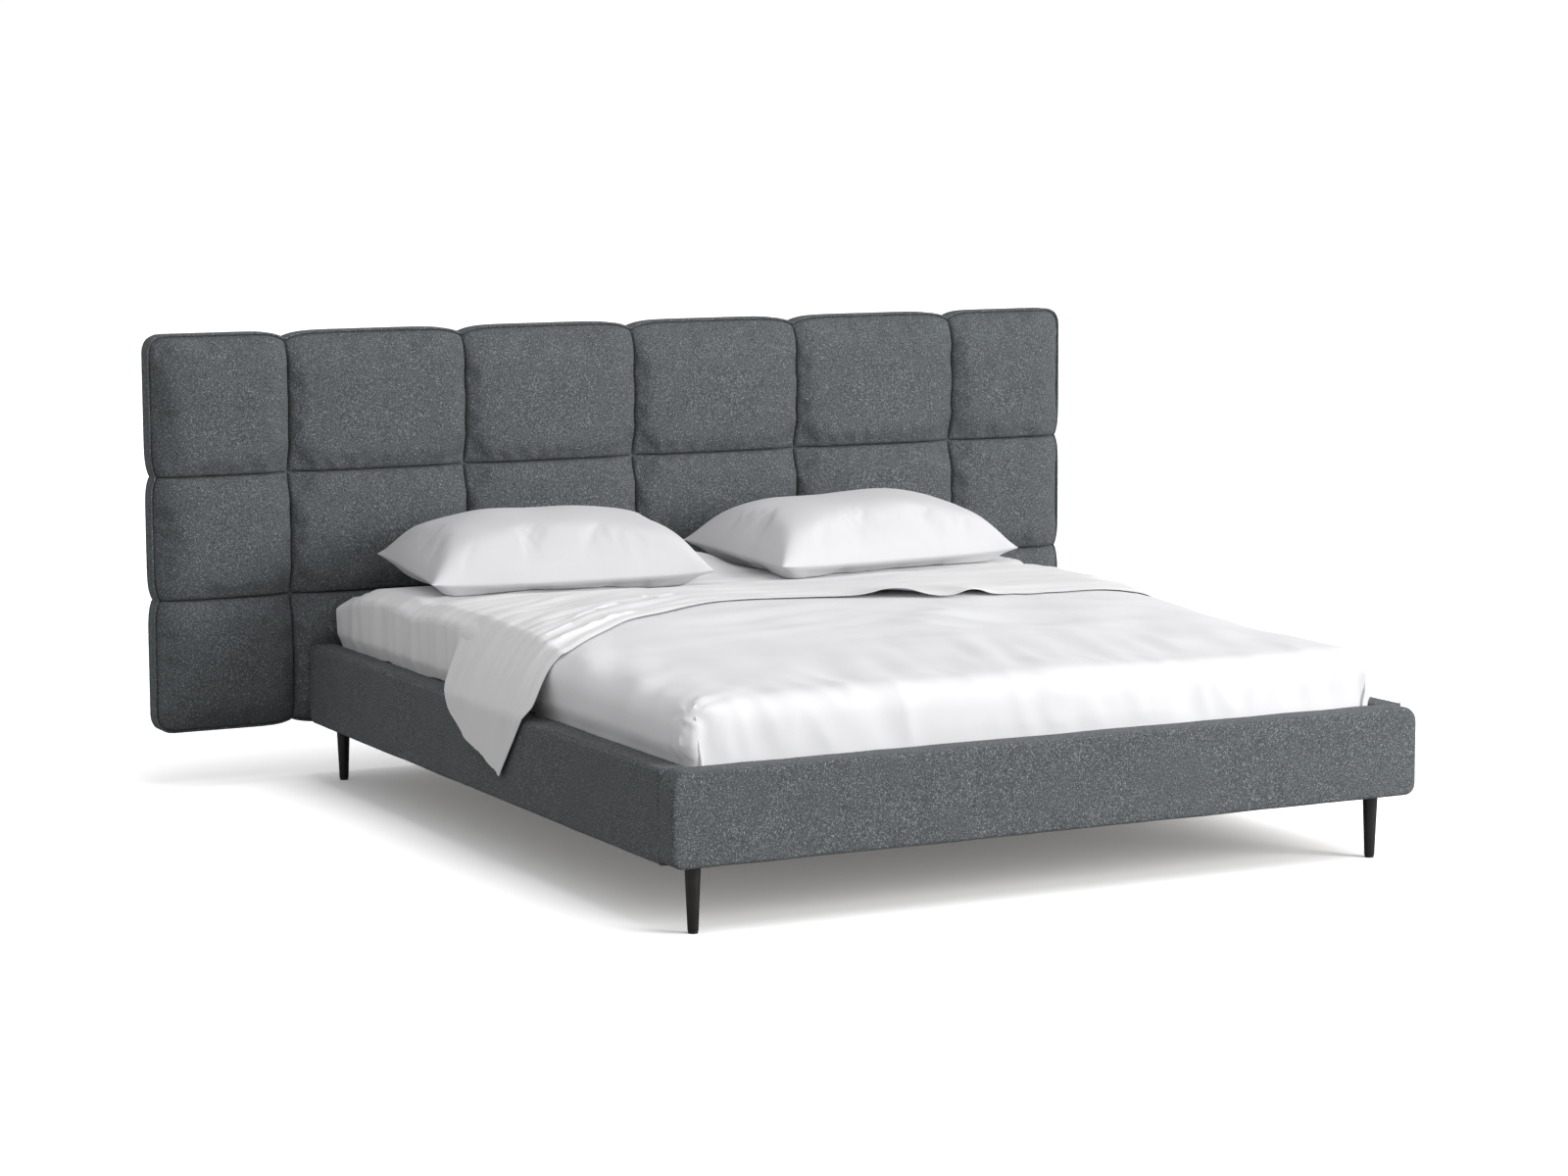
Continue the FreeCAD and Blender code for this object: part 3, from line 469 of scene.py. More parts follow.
def apply_all(piece: bpy.types.Object) -> None:
    """Applies every modifier of a piece."""
    alone(piece)
    for modifier in list(piece.modifiers):
        bpy.ops.object.modifier_apply(modifier=modifier.name)


def subdivide(piece: bpy.types.Object, levels: int = 1) -> None:
    """Applies a Subdivision Surface to a piece."""
    modifier = piece.modifiers.new("soften", "SUBSURF")
    modifier.levels = levels
    modifier.render_levels = levels
    apply_all(piece)


def smooth(piece: bpy.types.Object, degrees: float = 40.0) -> None:
    """Shades a piece smooth up to an angle."""
    alone(piece)
    bpy.ops.object.shade_smooth_by_angle(angle=math.radians(degrees))


def outward(piece: bpy.types.Object) -> None:
    """Merges doubles and turns a closed piece's faces outwards."""
    alone(piece)
    bpy.ops.object.mode_set(mode="EDIT")
    bpy.ops.mesh.select_all(action="SELECT")
    bpy.ops.mesh.remove_doubles(threshold=0.00002)
    bpy.ops.mesh.normals_make_consistent(inside=False)
    bpy.ops.object.mode_set(mode="OBJECT")


def dress(
    piece: bpy.types.Object, body: Body, slot: str, replaces: Sequence[str] = ()
) -> bpy.types.Object:
    """Gives a finished piece its slot's material and its body, and hides the nodes it stands for.

    Args:
        piece: The finished piece.
        body: The body it rides on.
        slot: The record's material slot.
        replaces: CAD nodes that it stands for.

    Returns:
        The same piece.
    """
    piece.data.materials.clear()
    piece.data.materials.append(material_for(slot))
    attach(piece, body.value)
    if replaces:
        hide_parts(*replaces)
    LOG.info("%s: %d faces", piece.name, len(piece.data.polygons))
    return piece


def coordinates(piece: bpy.types.Object) -> np.ndarray:
    """Returns the piece's points as an n by 3 array."""
    flat = np.empty(len(piece.data.vertices) * 3)
    piece.data.vertices.foreach_get("co", flat)
    return flat.reshape(-1, 3)


def directions(piece: bpy.types.Object) -> np.ndarray:
    """Returns the normals of the piece's points as an n by 3 array."""
    return np.array([vert.normal for vert in piece.data.vertices])


def ease(share: float | np.ndarray) -> float | np.ndarray:
    """Turns an even run from 0 to 1 into one that starts and ends gently."""
    return share * share * (3 - 2 * share)


def above_rail(height: float | np.ndarray) -> float | np.ndarray:
    """0 up to the rails' top edge, rising to 1 a little above it."""
    return np.clip((height - BULGE_FROM) / BULGE_RISE, 0, 1)


def set_coordinates(piece: bpy.types.Object, points: np.ndarray) -> None:
    """Moves the piece's points."""
    piece.data.vertices.foreach_set("co", np.asarray(points, float).ravel())
    piece.data.update()


def grid_faces(rows: int, columns: int, wrap: bool = False, start: int = 0) -> list[tuple]:
    """Faces of a grid of points stored row by row.

    Args:
        rows: Number of rows of points.
        columns: Number of points in a row.
        wrap: True when the last column joins the first.
        start: Index of the first point.

    Returns:
        The faces.
    """
    faces = []
    last = columns if wrap else columns - 1
    for row in range(rows - 1):
        for column in range(last):
            following = (column + 1) % columns
            low = start + row * columns
            high = low + columns
            faces.append((low + column, low + following, high + following, high + column))
    return faces


def grid_rim(rows: int, columns: int) -> list[int]:
    """Lists the outermost points of a grid stored row by row, once round."""
    rim = list(range(columns))
    rim += [row * columns + columns - 1 for row in range(1, rows)]
    rim += [(rows - 1) * columns + column for column in range(columns - 2, -1, -1)]
    rim += [row * columns for row in range(rows - 2, 0, -1)]
    return rim


def closed_pair(name: str, front: np.ndarray, back: np.ndarray) -> bpy.types.Object:
    """A closed shell from two grids of the same size, joined round their edges.

    Args:
        name: The piece's name.
        front: Rows by columns by 3 points of the outer skin.
        back: The inner skin's points, in the same order.

    Returns:
        The closed piece.
    """
    rows, columns = front.shape[:2]
    count = rows * columns
    faces = grid_faces(rows, columns)
    faces += [tuple(index + count for index in reversed(face)) for face in faces]
    rim = grid_rim(rows, columns)
    for index, here in enumerate(rim):
        there = rim[(index + 1) % len(rim)]
        faces.append((there, here, here + count, there + count))
    points = np.concatenate([front.reshape(-1, 3), back.reshape(-1, 3)])
    piece = mesh_piece(name, points, faces)
    outward(piece)
    return piece


def tube(
    name: str,
    path: np.ndarray,
    radius: float,
    sides: int = 8,
    upright: tuple[float, float, float] = (0.0, 1.0, 0.0),
) -> bpy.types.Object:
    """A closed ring of tube round a closed path.

    Args:
        name: The piece's name.
        path: n by 3 points; the last one joins the first.
        radius: The tube's radius.
        sides: Number of faces round it.
        upright: The direction square to the path's plane.

    Returns:
        The tube.
    """
    ahead = np.roll(path, -1, axis=0) - np.roll(path, 1, axis=0)
    ahead /= np.linalg.norm(ahead, axis=1, keepdims=True)
    side = np.cross(ahead, np.array(upright))
    flat = np.linalg.norm(side, axis=1) < 1e-6
    side[flat] = [1.0, 0.0, 0.0]
    side /= np.linalg.norm(side, axis=1, keepdims=True)
    other = np.cross(ahead, side)
    rings = []
    for step in range(sides):
        turn = math.tau * step / sides
        rings.append(path + radius * (math.cos(turn) * side + math.sin(turn) * other))
    points = np.stack(rings, axis=1).reshape(-1, 3)
    count = len(path)
    faces = []
    for station in range(count):
        following = (station + 1) % count
        for step in range(sides):
            beside = (step + 1) % sides
            faces.append(
                (
                    station * sides + step,
                    station * sides + beside,
                    following * sides + beside,
                    following * sides + step,
                )
            )
    piece = mesh_piece(name, points, faces)
    outward(piece)
    return piece


@dataclass(frozen=True)
class ClothRun:
    """How one piece of cloth is simulated.

    Attributes:
        frames: Number of steps.
        pressure: Push along the faces.
        growth: Share by which the cloth is cut larger than its start shape.
        cap: The furthest that a point may move, in metres.
        stiffness: Resistance to stretching.
        bending: Resistance to folding.
        gravity: Share of gravity.
        quality: Steps for each frame.
    """

    frames: int = 20
    pressure: float = 4.0
    growth: float = 0.0
    cap: float = 0.016
    stiffness: float = 15.0
    bending: float = 0.5
    gravity: float = 0.0
    quality: int = 5


def simulate(piece: bpy.types.Object, run: ClothRun, held: np.ndarray | None = None) -> None:
    """Runs a cloth simulation on a piece and keeps its result in the mesh.

    Args:
        piece: The piece.
        run: The settings.
        held: Share from 0 to 1 by which each point is held in place, or None.
    """
    before = coordinates(piece)
    cloth = piece.modifiers.new("cloth", "CLOTH")
    settings = cloth.settings
    settings.quality = run.quality
    settings.mass = 0.15
    settings.tension_stiffness = run.stiffness
    settings.compression_stiffness = run.stiffness
    settings.shear_stiffness = run.stiffness / 3
    settings.bending_stiffness = run.bending
    settings.use_pressure = run.pressure > 0
    settings.uniform_pressure_force = run.pressure
    settings.shrink_min = -run.growth
    settings.effector_weights.gravity = run.gravity
    cloth.collision_settings.use_collision = False
    cloth.collision_settings.use_self_collision = False
    if held is not None:
        group = piece.vertex_groups.new(name="held")
        for index, weight in enumerate(held):
            if weight > 0:
                group.add([index], float(weight), "REPLACE")
        settings.vertex_group_mass = group.name
    cloth.point_cache.frame_start = 1
    cloth.point_cache.frame_end = run.frames
    scene = bpy.context.scene
    for step in range(1, run.frames + 1):
        scene.frame_set(step)
    alone(piece)
    bpy.ops.object.modifier_apply(modifier=cloth.name)
    scene.frame_set(1)
    moved = coordinates(piece) - before
    distance = np.linalg.norm(moved, axis=1, keepdims=True)
    share = np.minimum(1.0, run.cap / np.maximum(distance, 1e-9))
    set_coordinates(piece, before + moved * share)
    piece.vertex_groups.clear()


def ripple(points: np.ndarray, size: float, seed: float) -> np.ndarray:
    """Smooth random values from -1 to 1 at the given points.

    Args:
        points: n by 3 points in metres.
        size: The ripples' size in metres.
        seed: An offset that picks another pattern.

    Returns:
        One number for each point.
    """
    shift = Vector((seed, seed * 1.7, seed * 0.3))
    return np.array([noise.noise(Vector(p) / size + shift) for p in points])


# ------------------------------------------------------------------ soft blocks


@dataclass(frozen=True)
class Rounding:
    """One set of edges to round.

    Attributes:
        chooses: True for an edge, from its middle and its direction.
        radius: The radius in metres.
        segments: Number of flats round the arc.
    """

    chooses: Callable[[Vector, Vector], bool]
    radius: float
    segments: int = 6


def raw_block(low: Vector, high: Vector) -> bpy.types.Object:
    """Adds a box with its place in its mesh.

    Args:
        low: Lowest corner.
        high: Highest corner.

    Returns:
        The box.
    """
    bpy.ops.object.select_all(action="DESELECT")
    bpy.ops.mesh.primitive_cube_add(size=1, location=(low + high) / 2)
    block = bpy.context.object
    block.scale = high - low
    bpy.ops.object.transform_apply(location=True, rotation=False, scale=True)
    return block


def round_off(block: bpy.types.Object, roundings: Sequence[Rounding]) -> None:
    """Bevels the chosen edges of a block, set by set."""
    alone(block)
    bpy.ops.object.mode_set(mode="EDIT")
    bpy.ops.mesh.select_mode(type="EDGE")
    for rounding in roundings:
        bpy.ops.mesh.select_all(action="DESELECT")
        work = bmesh.from_edit_mesh(block.data)
        for edge in work.edges:
            first, second = (vert.co for vert in edge.verts)
            if rounding.chooses((first + second) / 2, second - first):
                edge.select = True
        bmesh.update_edit_mesh(block.data)
        bpy.ops.mesh.bevel(offset=rounding.radius, segments=rounding.segments, affect="EDGES")
    bpy.ops.object.mode_set(mode="OBJECT")


def slice_up(
    block: bpy.types.Object, low: Vector, high: Vector, axes: Sequence[int], cell: float
) -> None:
    """Cuts a block by even planes, so that its faces can swell.

    Args:
        block: The block.
        low: Its lowest corner.
        high: Its highest corner.
        axes: The axes to cut across.
        cell: The distance between cuts.
    """
    alone(block)
    bpy.ops.object.mode_set(mode="EDIT")
    for axis in axes:
        span = high[axis] - low[axis]
        count = max(2, round(span / cell))
        normal = [0.0, 0.0, 0.0]
        normal[axis] = 1.0
        for step in range(1, count):
            spot_at = list((low + high) / 2)
            spot_at[axis] = low[axis] + span * step / count
            bpy.ops.mesh.select_all(action="SELECT")
            bpy.ops.mesh.bisect(plane_co=spot_at, plane_no=normal)
    bpy.ops.object.mode_set(mode="OBJECT")


def near(value: float, target: float) -> bool:
    """True when two lengths agree to half a millimetre."""
    return abs(value - target) < 0.0005


def along(direction: Vector, axis: int) -> bool:
    """True when a direction runs along an axis."""
    return abs(direction[axis]) > 0.98 * direction.length


# ------------------------------------------------------------------ headboard


@dataclass
class Headboard:
    """The quilted headboard: eighteen crowned tiles in one wool cloth, a border strip with a
    welt at each edge, a lining behind the seams and a dust cloth with staples at the back."""

    cell: float = 0.0115
    crown: float = 0.053
    column_crease: float = 0.62
    row_crease: float = 0.77
    dimple: float = 0.020
    edge_plane: float = 1.040
    corner_radius: float = 0.034
    welt_radius: float = 0.0032
    staple_pitch: float = 0.07
    columns: list[float] = field(default_factory=list)
    rows: list[float] = field(default_factory=list)

    def __post_init__(self) -> None:
        """Reads the seam lines from the pads, and the outer edge from the border."""
        low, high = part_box("headboard_border")
        inset = 0.006
        self.columns = [low[0] + inset]
        for column in range(2, 7):
            self.columns.append(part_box(f"headboard_pad_r1_c{column}")[0][0] - 0.001)
        self.columns.append(high[0] - inset)
        self.rows = [low[2] + inset]
        for row in range(2, 4):
            self.rows.append(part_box(f"headboard_pad_r{row}_c1")[0][2] - 0.001)
        self.rows.append(high[2] - inset)
        board_low, board_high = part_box("headboard_backing_board")
        self.board_front = board_low[1] - 0.0006
        self.board_side = board_high[0]
        self.board_bottom = board_low[2]
        self.board_top = board_high[2]

    def stations(self, edges: Sequence[float]) -> tuple[np.ndarray, np.ndarray, list[int]]:
        """Divides a row of tiles into grid lines, closer together beside the seams.

        Args:
            edges: The seams' places.

        Returns:
            Places, place within the tile from -1 to 1, and the indices of the seams.
        """
        places = [edges[0]]
        local = [-1.0]
        seams = [0]
        for low, high in zip(edges, edges[1:]):
            count = 2 * round((high - low) / self.cell / 2)
            for step in range(1, count + 1):
                even = -1 + 2 * step / count
                spread = math.copysign(1 - (1 - abs(even)) ** 1.22, even)
                places.append((low + high) / 2 + (high - low) / 2 * spread)
                local.append(spread)
            seams.append(len(places) - 1)
        return np.array(places), np.array(local), seams

    def round_corner(self, x: np.ndarray, z: np.ndarray) -> tuple[np.ndarray, np.ndarray]:
        """Rounds the four outer corners of the grid into arcs.

        Args:
            x: Places across.
            z: Heights.

        Returns:
            The moved places.
        """
        radius = self.corner_radius
        half = self.columns[-1]
        middle = (self.rows[0] + self.rows[-1]) / 2
        tall = (self.rows[-1] - self.rows[0]) / 2
        over_x = np.maximum(0, np.abs(x) - (half - radius))
        over_z = np.maximum(0, np.abs(z - middle) - (tall - radius))
        length = np.hypot(over_x, over_z)
        share = np.where(length > 0, np.maximum(over_x, over_z) / np.maximum(length, 1e-9), 1)
        new_x = np.sign(x) * (np.abs(x) - over_x + over_x * share)
        new_z = middle + np.sign(z - middle) * (np.abs(z - middle) - over_z + over_z * share)
        return new_x, new_z

    def cover_grid(self) -> tuple[np.ndarray, np.ndarray, list[int], list[int]]:
        """Lays out the whole front cover.

        Returns:
            Rows by columns by 3 points, the share by which each is held by a seam, and the
            seams' indices along the rows and the columns.
        """
        xs, u, column_seams = self.stations(self.columns)
        zs, v, row_seams = self.stations(self.rows)
        grid_x, grid_z = np.meshgrid(xs, zs)
        grid_u, grid_v = np.meshgrid(np.abs(u), np.abs(v))
        x, z = self.round_corner(grid_x, grid_z)
        end = (self.columns[-2] + self.columns[-1]) / 2
        outer_u = np.abs(grid_x) > end
        above = grid_z > (self.rows[2] + self.rows[3]) / 2
        below = grid_z < (self.rows[0] + self.rows[1]) / 2
        swell_x = np.where(outer_u, 1.0, 1 - grid_u**7)
        swell_z = np.where(above | below, 1.0, 1 - grid_v**7)
        side = np.clip((np.abs(grid_x) - end) / (self.columns[-1] - end), 0, 1) ** 3
        x = x + np.sign(grid_x) * side * (-0.004 + 0.012 * swell_z)
        top = np.clip((grid_z - self.rows[2]) / (self.rows[3] - self.rows[2]), 0, 1) ** 3
        foot = np.clip((self.rows[1] - grid_z) / (self.rows[1] - self.rows[0]), 0, 1) ** 3
        z = z + top * (-0.007 + 0.017 * swell_x) - foot * (-0.006 + 0.013 * swell_x)
        fall_u = 1 - (1 - grid_u**3.2) ** 0.52
        fall_v = 1 - (1 - grid_v**3.2) ** 0.52
        keep_u = np.where(outer_u, 0.0, self.column_crease)
        keep_v = np.where(above | below, 0.0, self.row_crease)
        height = self.crown * (1 - (1 - keep_u) * fall_u) * (1 - (1 - keep_v) * fall_v)
        to_column = np.min([np.abs(grid_x - seam) for seam in self.columns[1:-1]], axis=0)
        to_row = np.min([np.abs(grid_z - seam) for seam in self.rows[1:-1]], axis=0)
        crossing = np.exp(-(to_column**2 + to_row**2) / 0.055**2)
        slit = np.maximum(np.exp(-((to_column / 0.005) ** 2)), np.exp(-((to_row / 0.005) ** 2)))
        height = np.maximum(0, height - self.dimple * crossing - 0.004 * slit * (height > 0.01))
        y = self.edge_plane - height
        held = np.zeros_like(x)
        held[:, column_seams] = 1
        held[[row_seams[0], row_seams[-1]], :] = 1
        held[row_seams[1:3], :] = 1
        return np.stack([x, y, z], axis=-1), held, row_seams, column_seams

    def press(self, points: np.ndarray) -> np.ndarray:
        """Keeps the cover off the board behind it, and flattens it where the rails and the
        mattress push against it.

        Args:
            points: Rows by columns by 3 points.

        Returns:
            The pressed points.
        """
        rail_low, rail_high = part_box("side_rail_right_cover")
        mattress_low, mattress_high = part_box("mattress")
        x = np.abs(points[..., 0])
        z = points[..., 2]
        limit = np.full_like(x, 0.9)
        for reach, low, high, face in (
            (rail_high[0], rail_low[2], rail_high[2], rail_high[1]),
            (mattress_high[0], mattress_low[2], mattress_high[2], mattress_high[1] + 0.0025),
        ):
            away = np.maximum(0, x - reach) + np.maximum(0, z - high) + np.maximum(0, low - z)
            limit = np.maximum(limit, face + 0.0015 - 0.45 * away)
        over = np.maximum(x - self.board_side, z - self.board_top)
        over = np.maximum(over, self.board_bottom - z) - 0.0015
        deepest = self.board_front - 0.0016 + np.clip(over * 1.2, 0, 0.006)
        pressed = points.copy()
        pressed[..., 1] = np.minimum(np.maximum(points[..., 1], limit), deepest)
        return pressed

    def build_cover(self) -> np.ndarray:
        """Simulates the cover held at its seams, and cuts it into its tiles.

        Returns:
            The cover's points after simulation.
        """
        grid, held, row_seams, column_seams = self.cover_grid()
        rows, columns = grid.shape[:2]
        cover = mesh_piece("headboard_cover", grid.reshape(-1, 3), grid_faces(rows, columns))
        run = ClothRun(frames=12, pressure=2.2, growth=0.03, cap=0.009, bending=0.3)
        simulate(cover, run, held.ravel())
        puffed = coordinates(cover).reshape(grid.shape)
        bpy.data.objects.remove(cover)
        puffed = self.press(puffed)
        for row in range(3):
            for column in range(6):
                rows_of = slice(row_seams[row], row_seams[row + 1] + 1)
                columns_of = slice(column_seams[column], column_seams[column + 1] + 1)
                front = puffed[rows_of, columns_of]
                self.build_tile(row + 1, column + 1, front)
        return puffed

    def build_tile(self, row: int, column: int, front: np.ndarray) -> None:
        """Makes one closed tile from its part of the cover.

        Args:
            row: Row from the floor, from 1.
            column: Column from the left, from 1.
            front: The tile's part of the cover.
        """
        back = front.copy()
        over = np.abs(front[..., 0]) - self.board_side
        over = np.maximum(over, front[..., 2] - self.board_top)
        over = np.maximum(over, self.board_bottom - front[..., 2])
        back[..., 1] = np.maximum(
            front[..., 1] + 0.0002, np.where(over > 0.009, self.edge_plane, self.board_front)
        )
        tile = closed_pair(f"headboard_tile_r{row}_c{column}", front, back)
        subdivide(tile)
        smooth(tile, 60)
        dress(tile, Body.FRAME, "upholstery", [f"headboard_pad_r{row}_c{column}"])

    def edge_loop(self, cover: np.ndarray) -> tuple[np.ndarray, np.ndarray]:
        """Follows the cover's outer edge.

        Args:
            cover: The cover's points.

        Returns:
            n by 2 places (across, height) of the edge and its outward directions.
        """
        loop = np.concatenate(
            [cover[0, :-1], cover[:-1, -1], cover[-1, :0:-1], cover[:0:-1, 0]]
        )[:, [0, 2]]
        ahead = np.roll(loop, -1, axis=0) - np.roll(loop, 1, axis=0)
        ahead /= np.linalg.norm(ahead, axis=1, keepdims=True)
        return loop, np.stack([ahead[:, 1], -ahead[:, 0]], axis=1)

    def build_border(self, cover: np.ndarray) -> None:
        """Makes the border strip and its two welts.

        Args:
            cover: The cover's points.
        """
        loop, away = self.edge_loop(cover)
        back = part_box("headboard_border")[1][1]
        front = self.edge_plane - 0.001
        section = []
        for step in range(7):
            share = step / 6
            lift = 0.0035 + 0.0030 * math.sin(math.pi * share)
            section.append((lift, front + (back - 0.0015 - front) * share))
        section += [(-0.024, back - 0.0004), (-0.024, back - 0.0014), (-0.004, back - 0.004)]
        section.append((-0.004, front + 0.001))
        rings = []
        for lift, depth in section:
            flat = loop + lift * away
            rings.append(np.stack([flat[:, 0], np.full(len(flat), depth), flat[:, 1]], axis=1))
        points = np.stack(rings + [rings[0]], axis=0)
        faces = grid_faces(len(points), len(loop), wrap=True)
        strip = mesh_piece("headboard_border_strip", points.reshape(-1, 3), faces)
        outward(strip)
        subdivide(strip)
        smooth(strip, 50)
        dress(strip, Body.FRAME, "upholstery", ["headboard_border"])
        for name, depth, node in (
            ("headboard_front_welt", front - 0.0010, ["headboard_piping"]),
            ("headboard_back_welt", back - self.welt_radius, []),
        ):
            flat = loop + 0.0035 * away
            path = np.stack([flat[:, 0], np.full(len(flat), depth), flat[:, 1]], axis=1)
            welt = tube(name, path, self.welt_radius)
            smooth(welt, 80)
            dress(welt, Body.FRAME, "upholstery", node)

    def build_lining(self) -> None:
        """Makes the cloth behind the seams and the stapled dust cloth."""
        xs = np.linspace(-self.board_side + 0.004, self.board_side - 0.004, 30)
        zs = np.linspace(self.board_bottom + 0.004, self.board_top - 0.004, 12)
        grid_x, grid_z = np.meshgrid(xs, zs)
        front = np.stack([grid_x, grid_x * 0 + self.board_front - 0.0008, grid_z], axis=-1)
        lining = closed_pair("headboard_lining", front, front + np.array([0, 0.0010, 0]))
        dress(lining, Body.FRAME, "upholstery")
        half = self.board_side + 0.008
        low = self.board_bottom - 0.008
        high = self.board_top + 0.008
        xs = np.linspace(-half, half, 60)
        zs = np.linspace(low, high, 24)
        grid_x, grid_z = np.meshgrid(xs, zs)
        x, z = grid_x, grid_z
        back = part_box("headboard_back_cloth")[1][1]
        sag = ripple(np.stack([x, x * 0, z], axis=-1).reshape(-1, 3), 0.35, 3.1)
        border = np.minimum(half - np.abs(grid_x), np.minimum(grid_z - low, high - grid_z))
        fade = np.minimum(1, border / 0.06)
        dent = 0.0007 * (1 + sag.reshape(x.shape)) * fade
        outer = np.stack([x, back - 0.0004 - dent, z], axis=-1)
        inner = outer - np.array([0, 0.0008, 0])
        cloth = closed_pair("headboard_dust_cloth", inner, outer)
        smooth(cloth)
        dress(cloth, Body.FRAME, "dust_cloth", ["headboard_back_cloth"])
        self.build_staples(half - 0.016, low + 0.016, high - 0.016, back)

    def build_staples(self, half: float, low: float, high: float, back: float) -> None:
        """Makes the staples round the dust cloth's edge.

        Args:
            half: Half the width of their rectangle.
            low: Its lower edge.
            high: Its upper edge.
            back: The dust cloth's outer face.
        """
        spots = []
        for step in range(round(2 * half / self.staple_pitch)):
            x = -half + self.staple_pitch * (step + 0.5)
            spots += [(x, low, 0.0), (x, high, 0.0)]
        for step in range(round((high - low) / self.staple_pitch)):
            z = low + self.staple_pitch * (step + 0.5)
            spots += [(-half, z, math.pi / 2), (half, z, math.pi / 2)]
        mould = bmesh.new()
        bmesh.ops.create_cube(mould, size=1.0)
        shape = bpy.data.meshes.new("staple_mould")
        bmesh.ops.scale(mould, vec=(0.010, 0.0008, 0.0011), verts=mould.verts)
        bmesh.ops.bevel(mould, geom=mould.edges[:], offset=0.00025, segments=1, affect="EDGES")
        mould.to_mesh(shape)
        mould.free()
        points = np.array([v.co for v in shape.vertices])
        polygons = [tuple(p.vertices) for p in shape.polygons]
        all_points, faces = [], []
        for x, z, turn in spots:
            spin = np.array(Euler((0, turn + 0.12 * math.sin(31 * x + 17 * z), 0)).to_matrix())
            start = len(all_points) * len(points)
            all_points.append(points @ spin.T + np.array([x, back + 0.0001, z]))
            faces += [tuple(index + start for index in polygon) for polygon in polygons]
        staples = mesh_piece("headboard_staples", np.concatenate(all_points), faces)
        dress(staples, Body.FRAME, "bolt_steel")
        bpy.data.meshes.remove(shape)

    def build(self) -> None:
        """Builds the whole headboard."""
        cover = self.build_cover()
        self.build_border(cover)
        self.build_lining()


# ------------------------------------------------------------------ rails


@dataclass
class PaddedRail:
    """One rail's cover: wool cloth over foam, wrapped round a timber plank."""

    name: str
    node: str
    core: str
    roundings: list[Rounding]
    long_axis: int
    seed: float
    cell: float = 0.03

    def hollow(self, block: bpy.types.Object) -> None:
        """Cuts the plank's space out of the cover."""
        low, high = (Vector(corner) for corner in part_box(self.core))
        grow = Vector((0.0002, 0.0002, 0.0002))
        plank = raw_block(low - grow, high + grow)
        cut = block.modifiers.new("hollow", "BOOLEAN")
        cut.operation = "DIFFERENCE"
        cut.solver = "EXACT"
        cut.object = plank
        apply_all(block)
        bpy.data.objects.remove(plank)

    def build(self) -> bpy.types.Object:
        """Builds the cover and returns it."""
        low, high = (Vector(corner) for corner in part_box(self.node))
        block = raw_block(low, high)
        block.name = self.name
        block.data.name = self.name
        round_off(block, self.roundings)
        slice_up(block, low, high, (self.long_axis, 2), self.cell)
        points = coordinates(block)
        normals = directions(block)
        swell = 0.0011 * ripple(points, 0.11, self.seed) + 0.0005 * ripple(points, 0.035, 5.0)
        set_coordinates(block, points + normals * swell[:, None])
        self.hollow(block)
        smooth(block, 40)
        dress(block, Body.FRAME, "upholstery", [self.node])
        return block


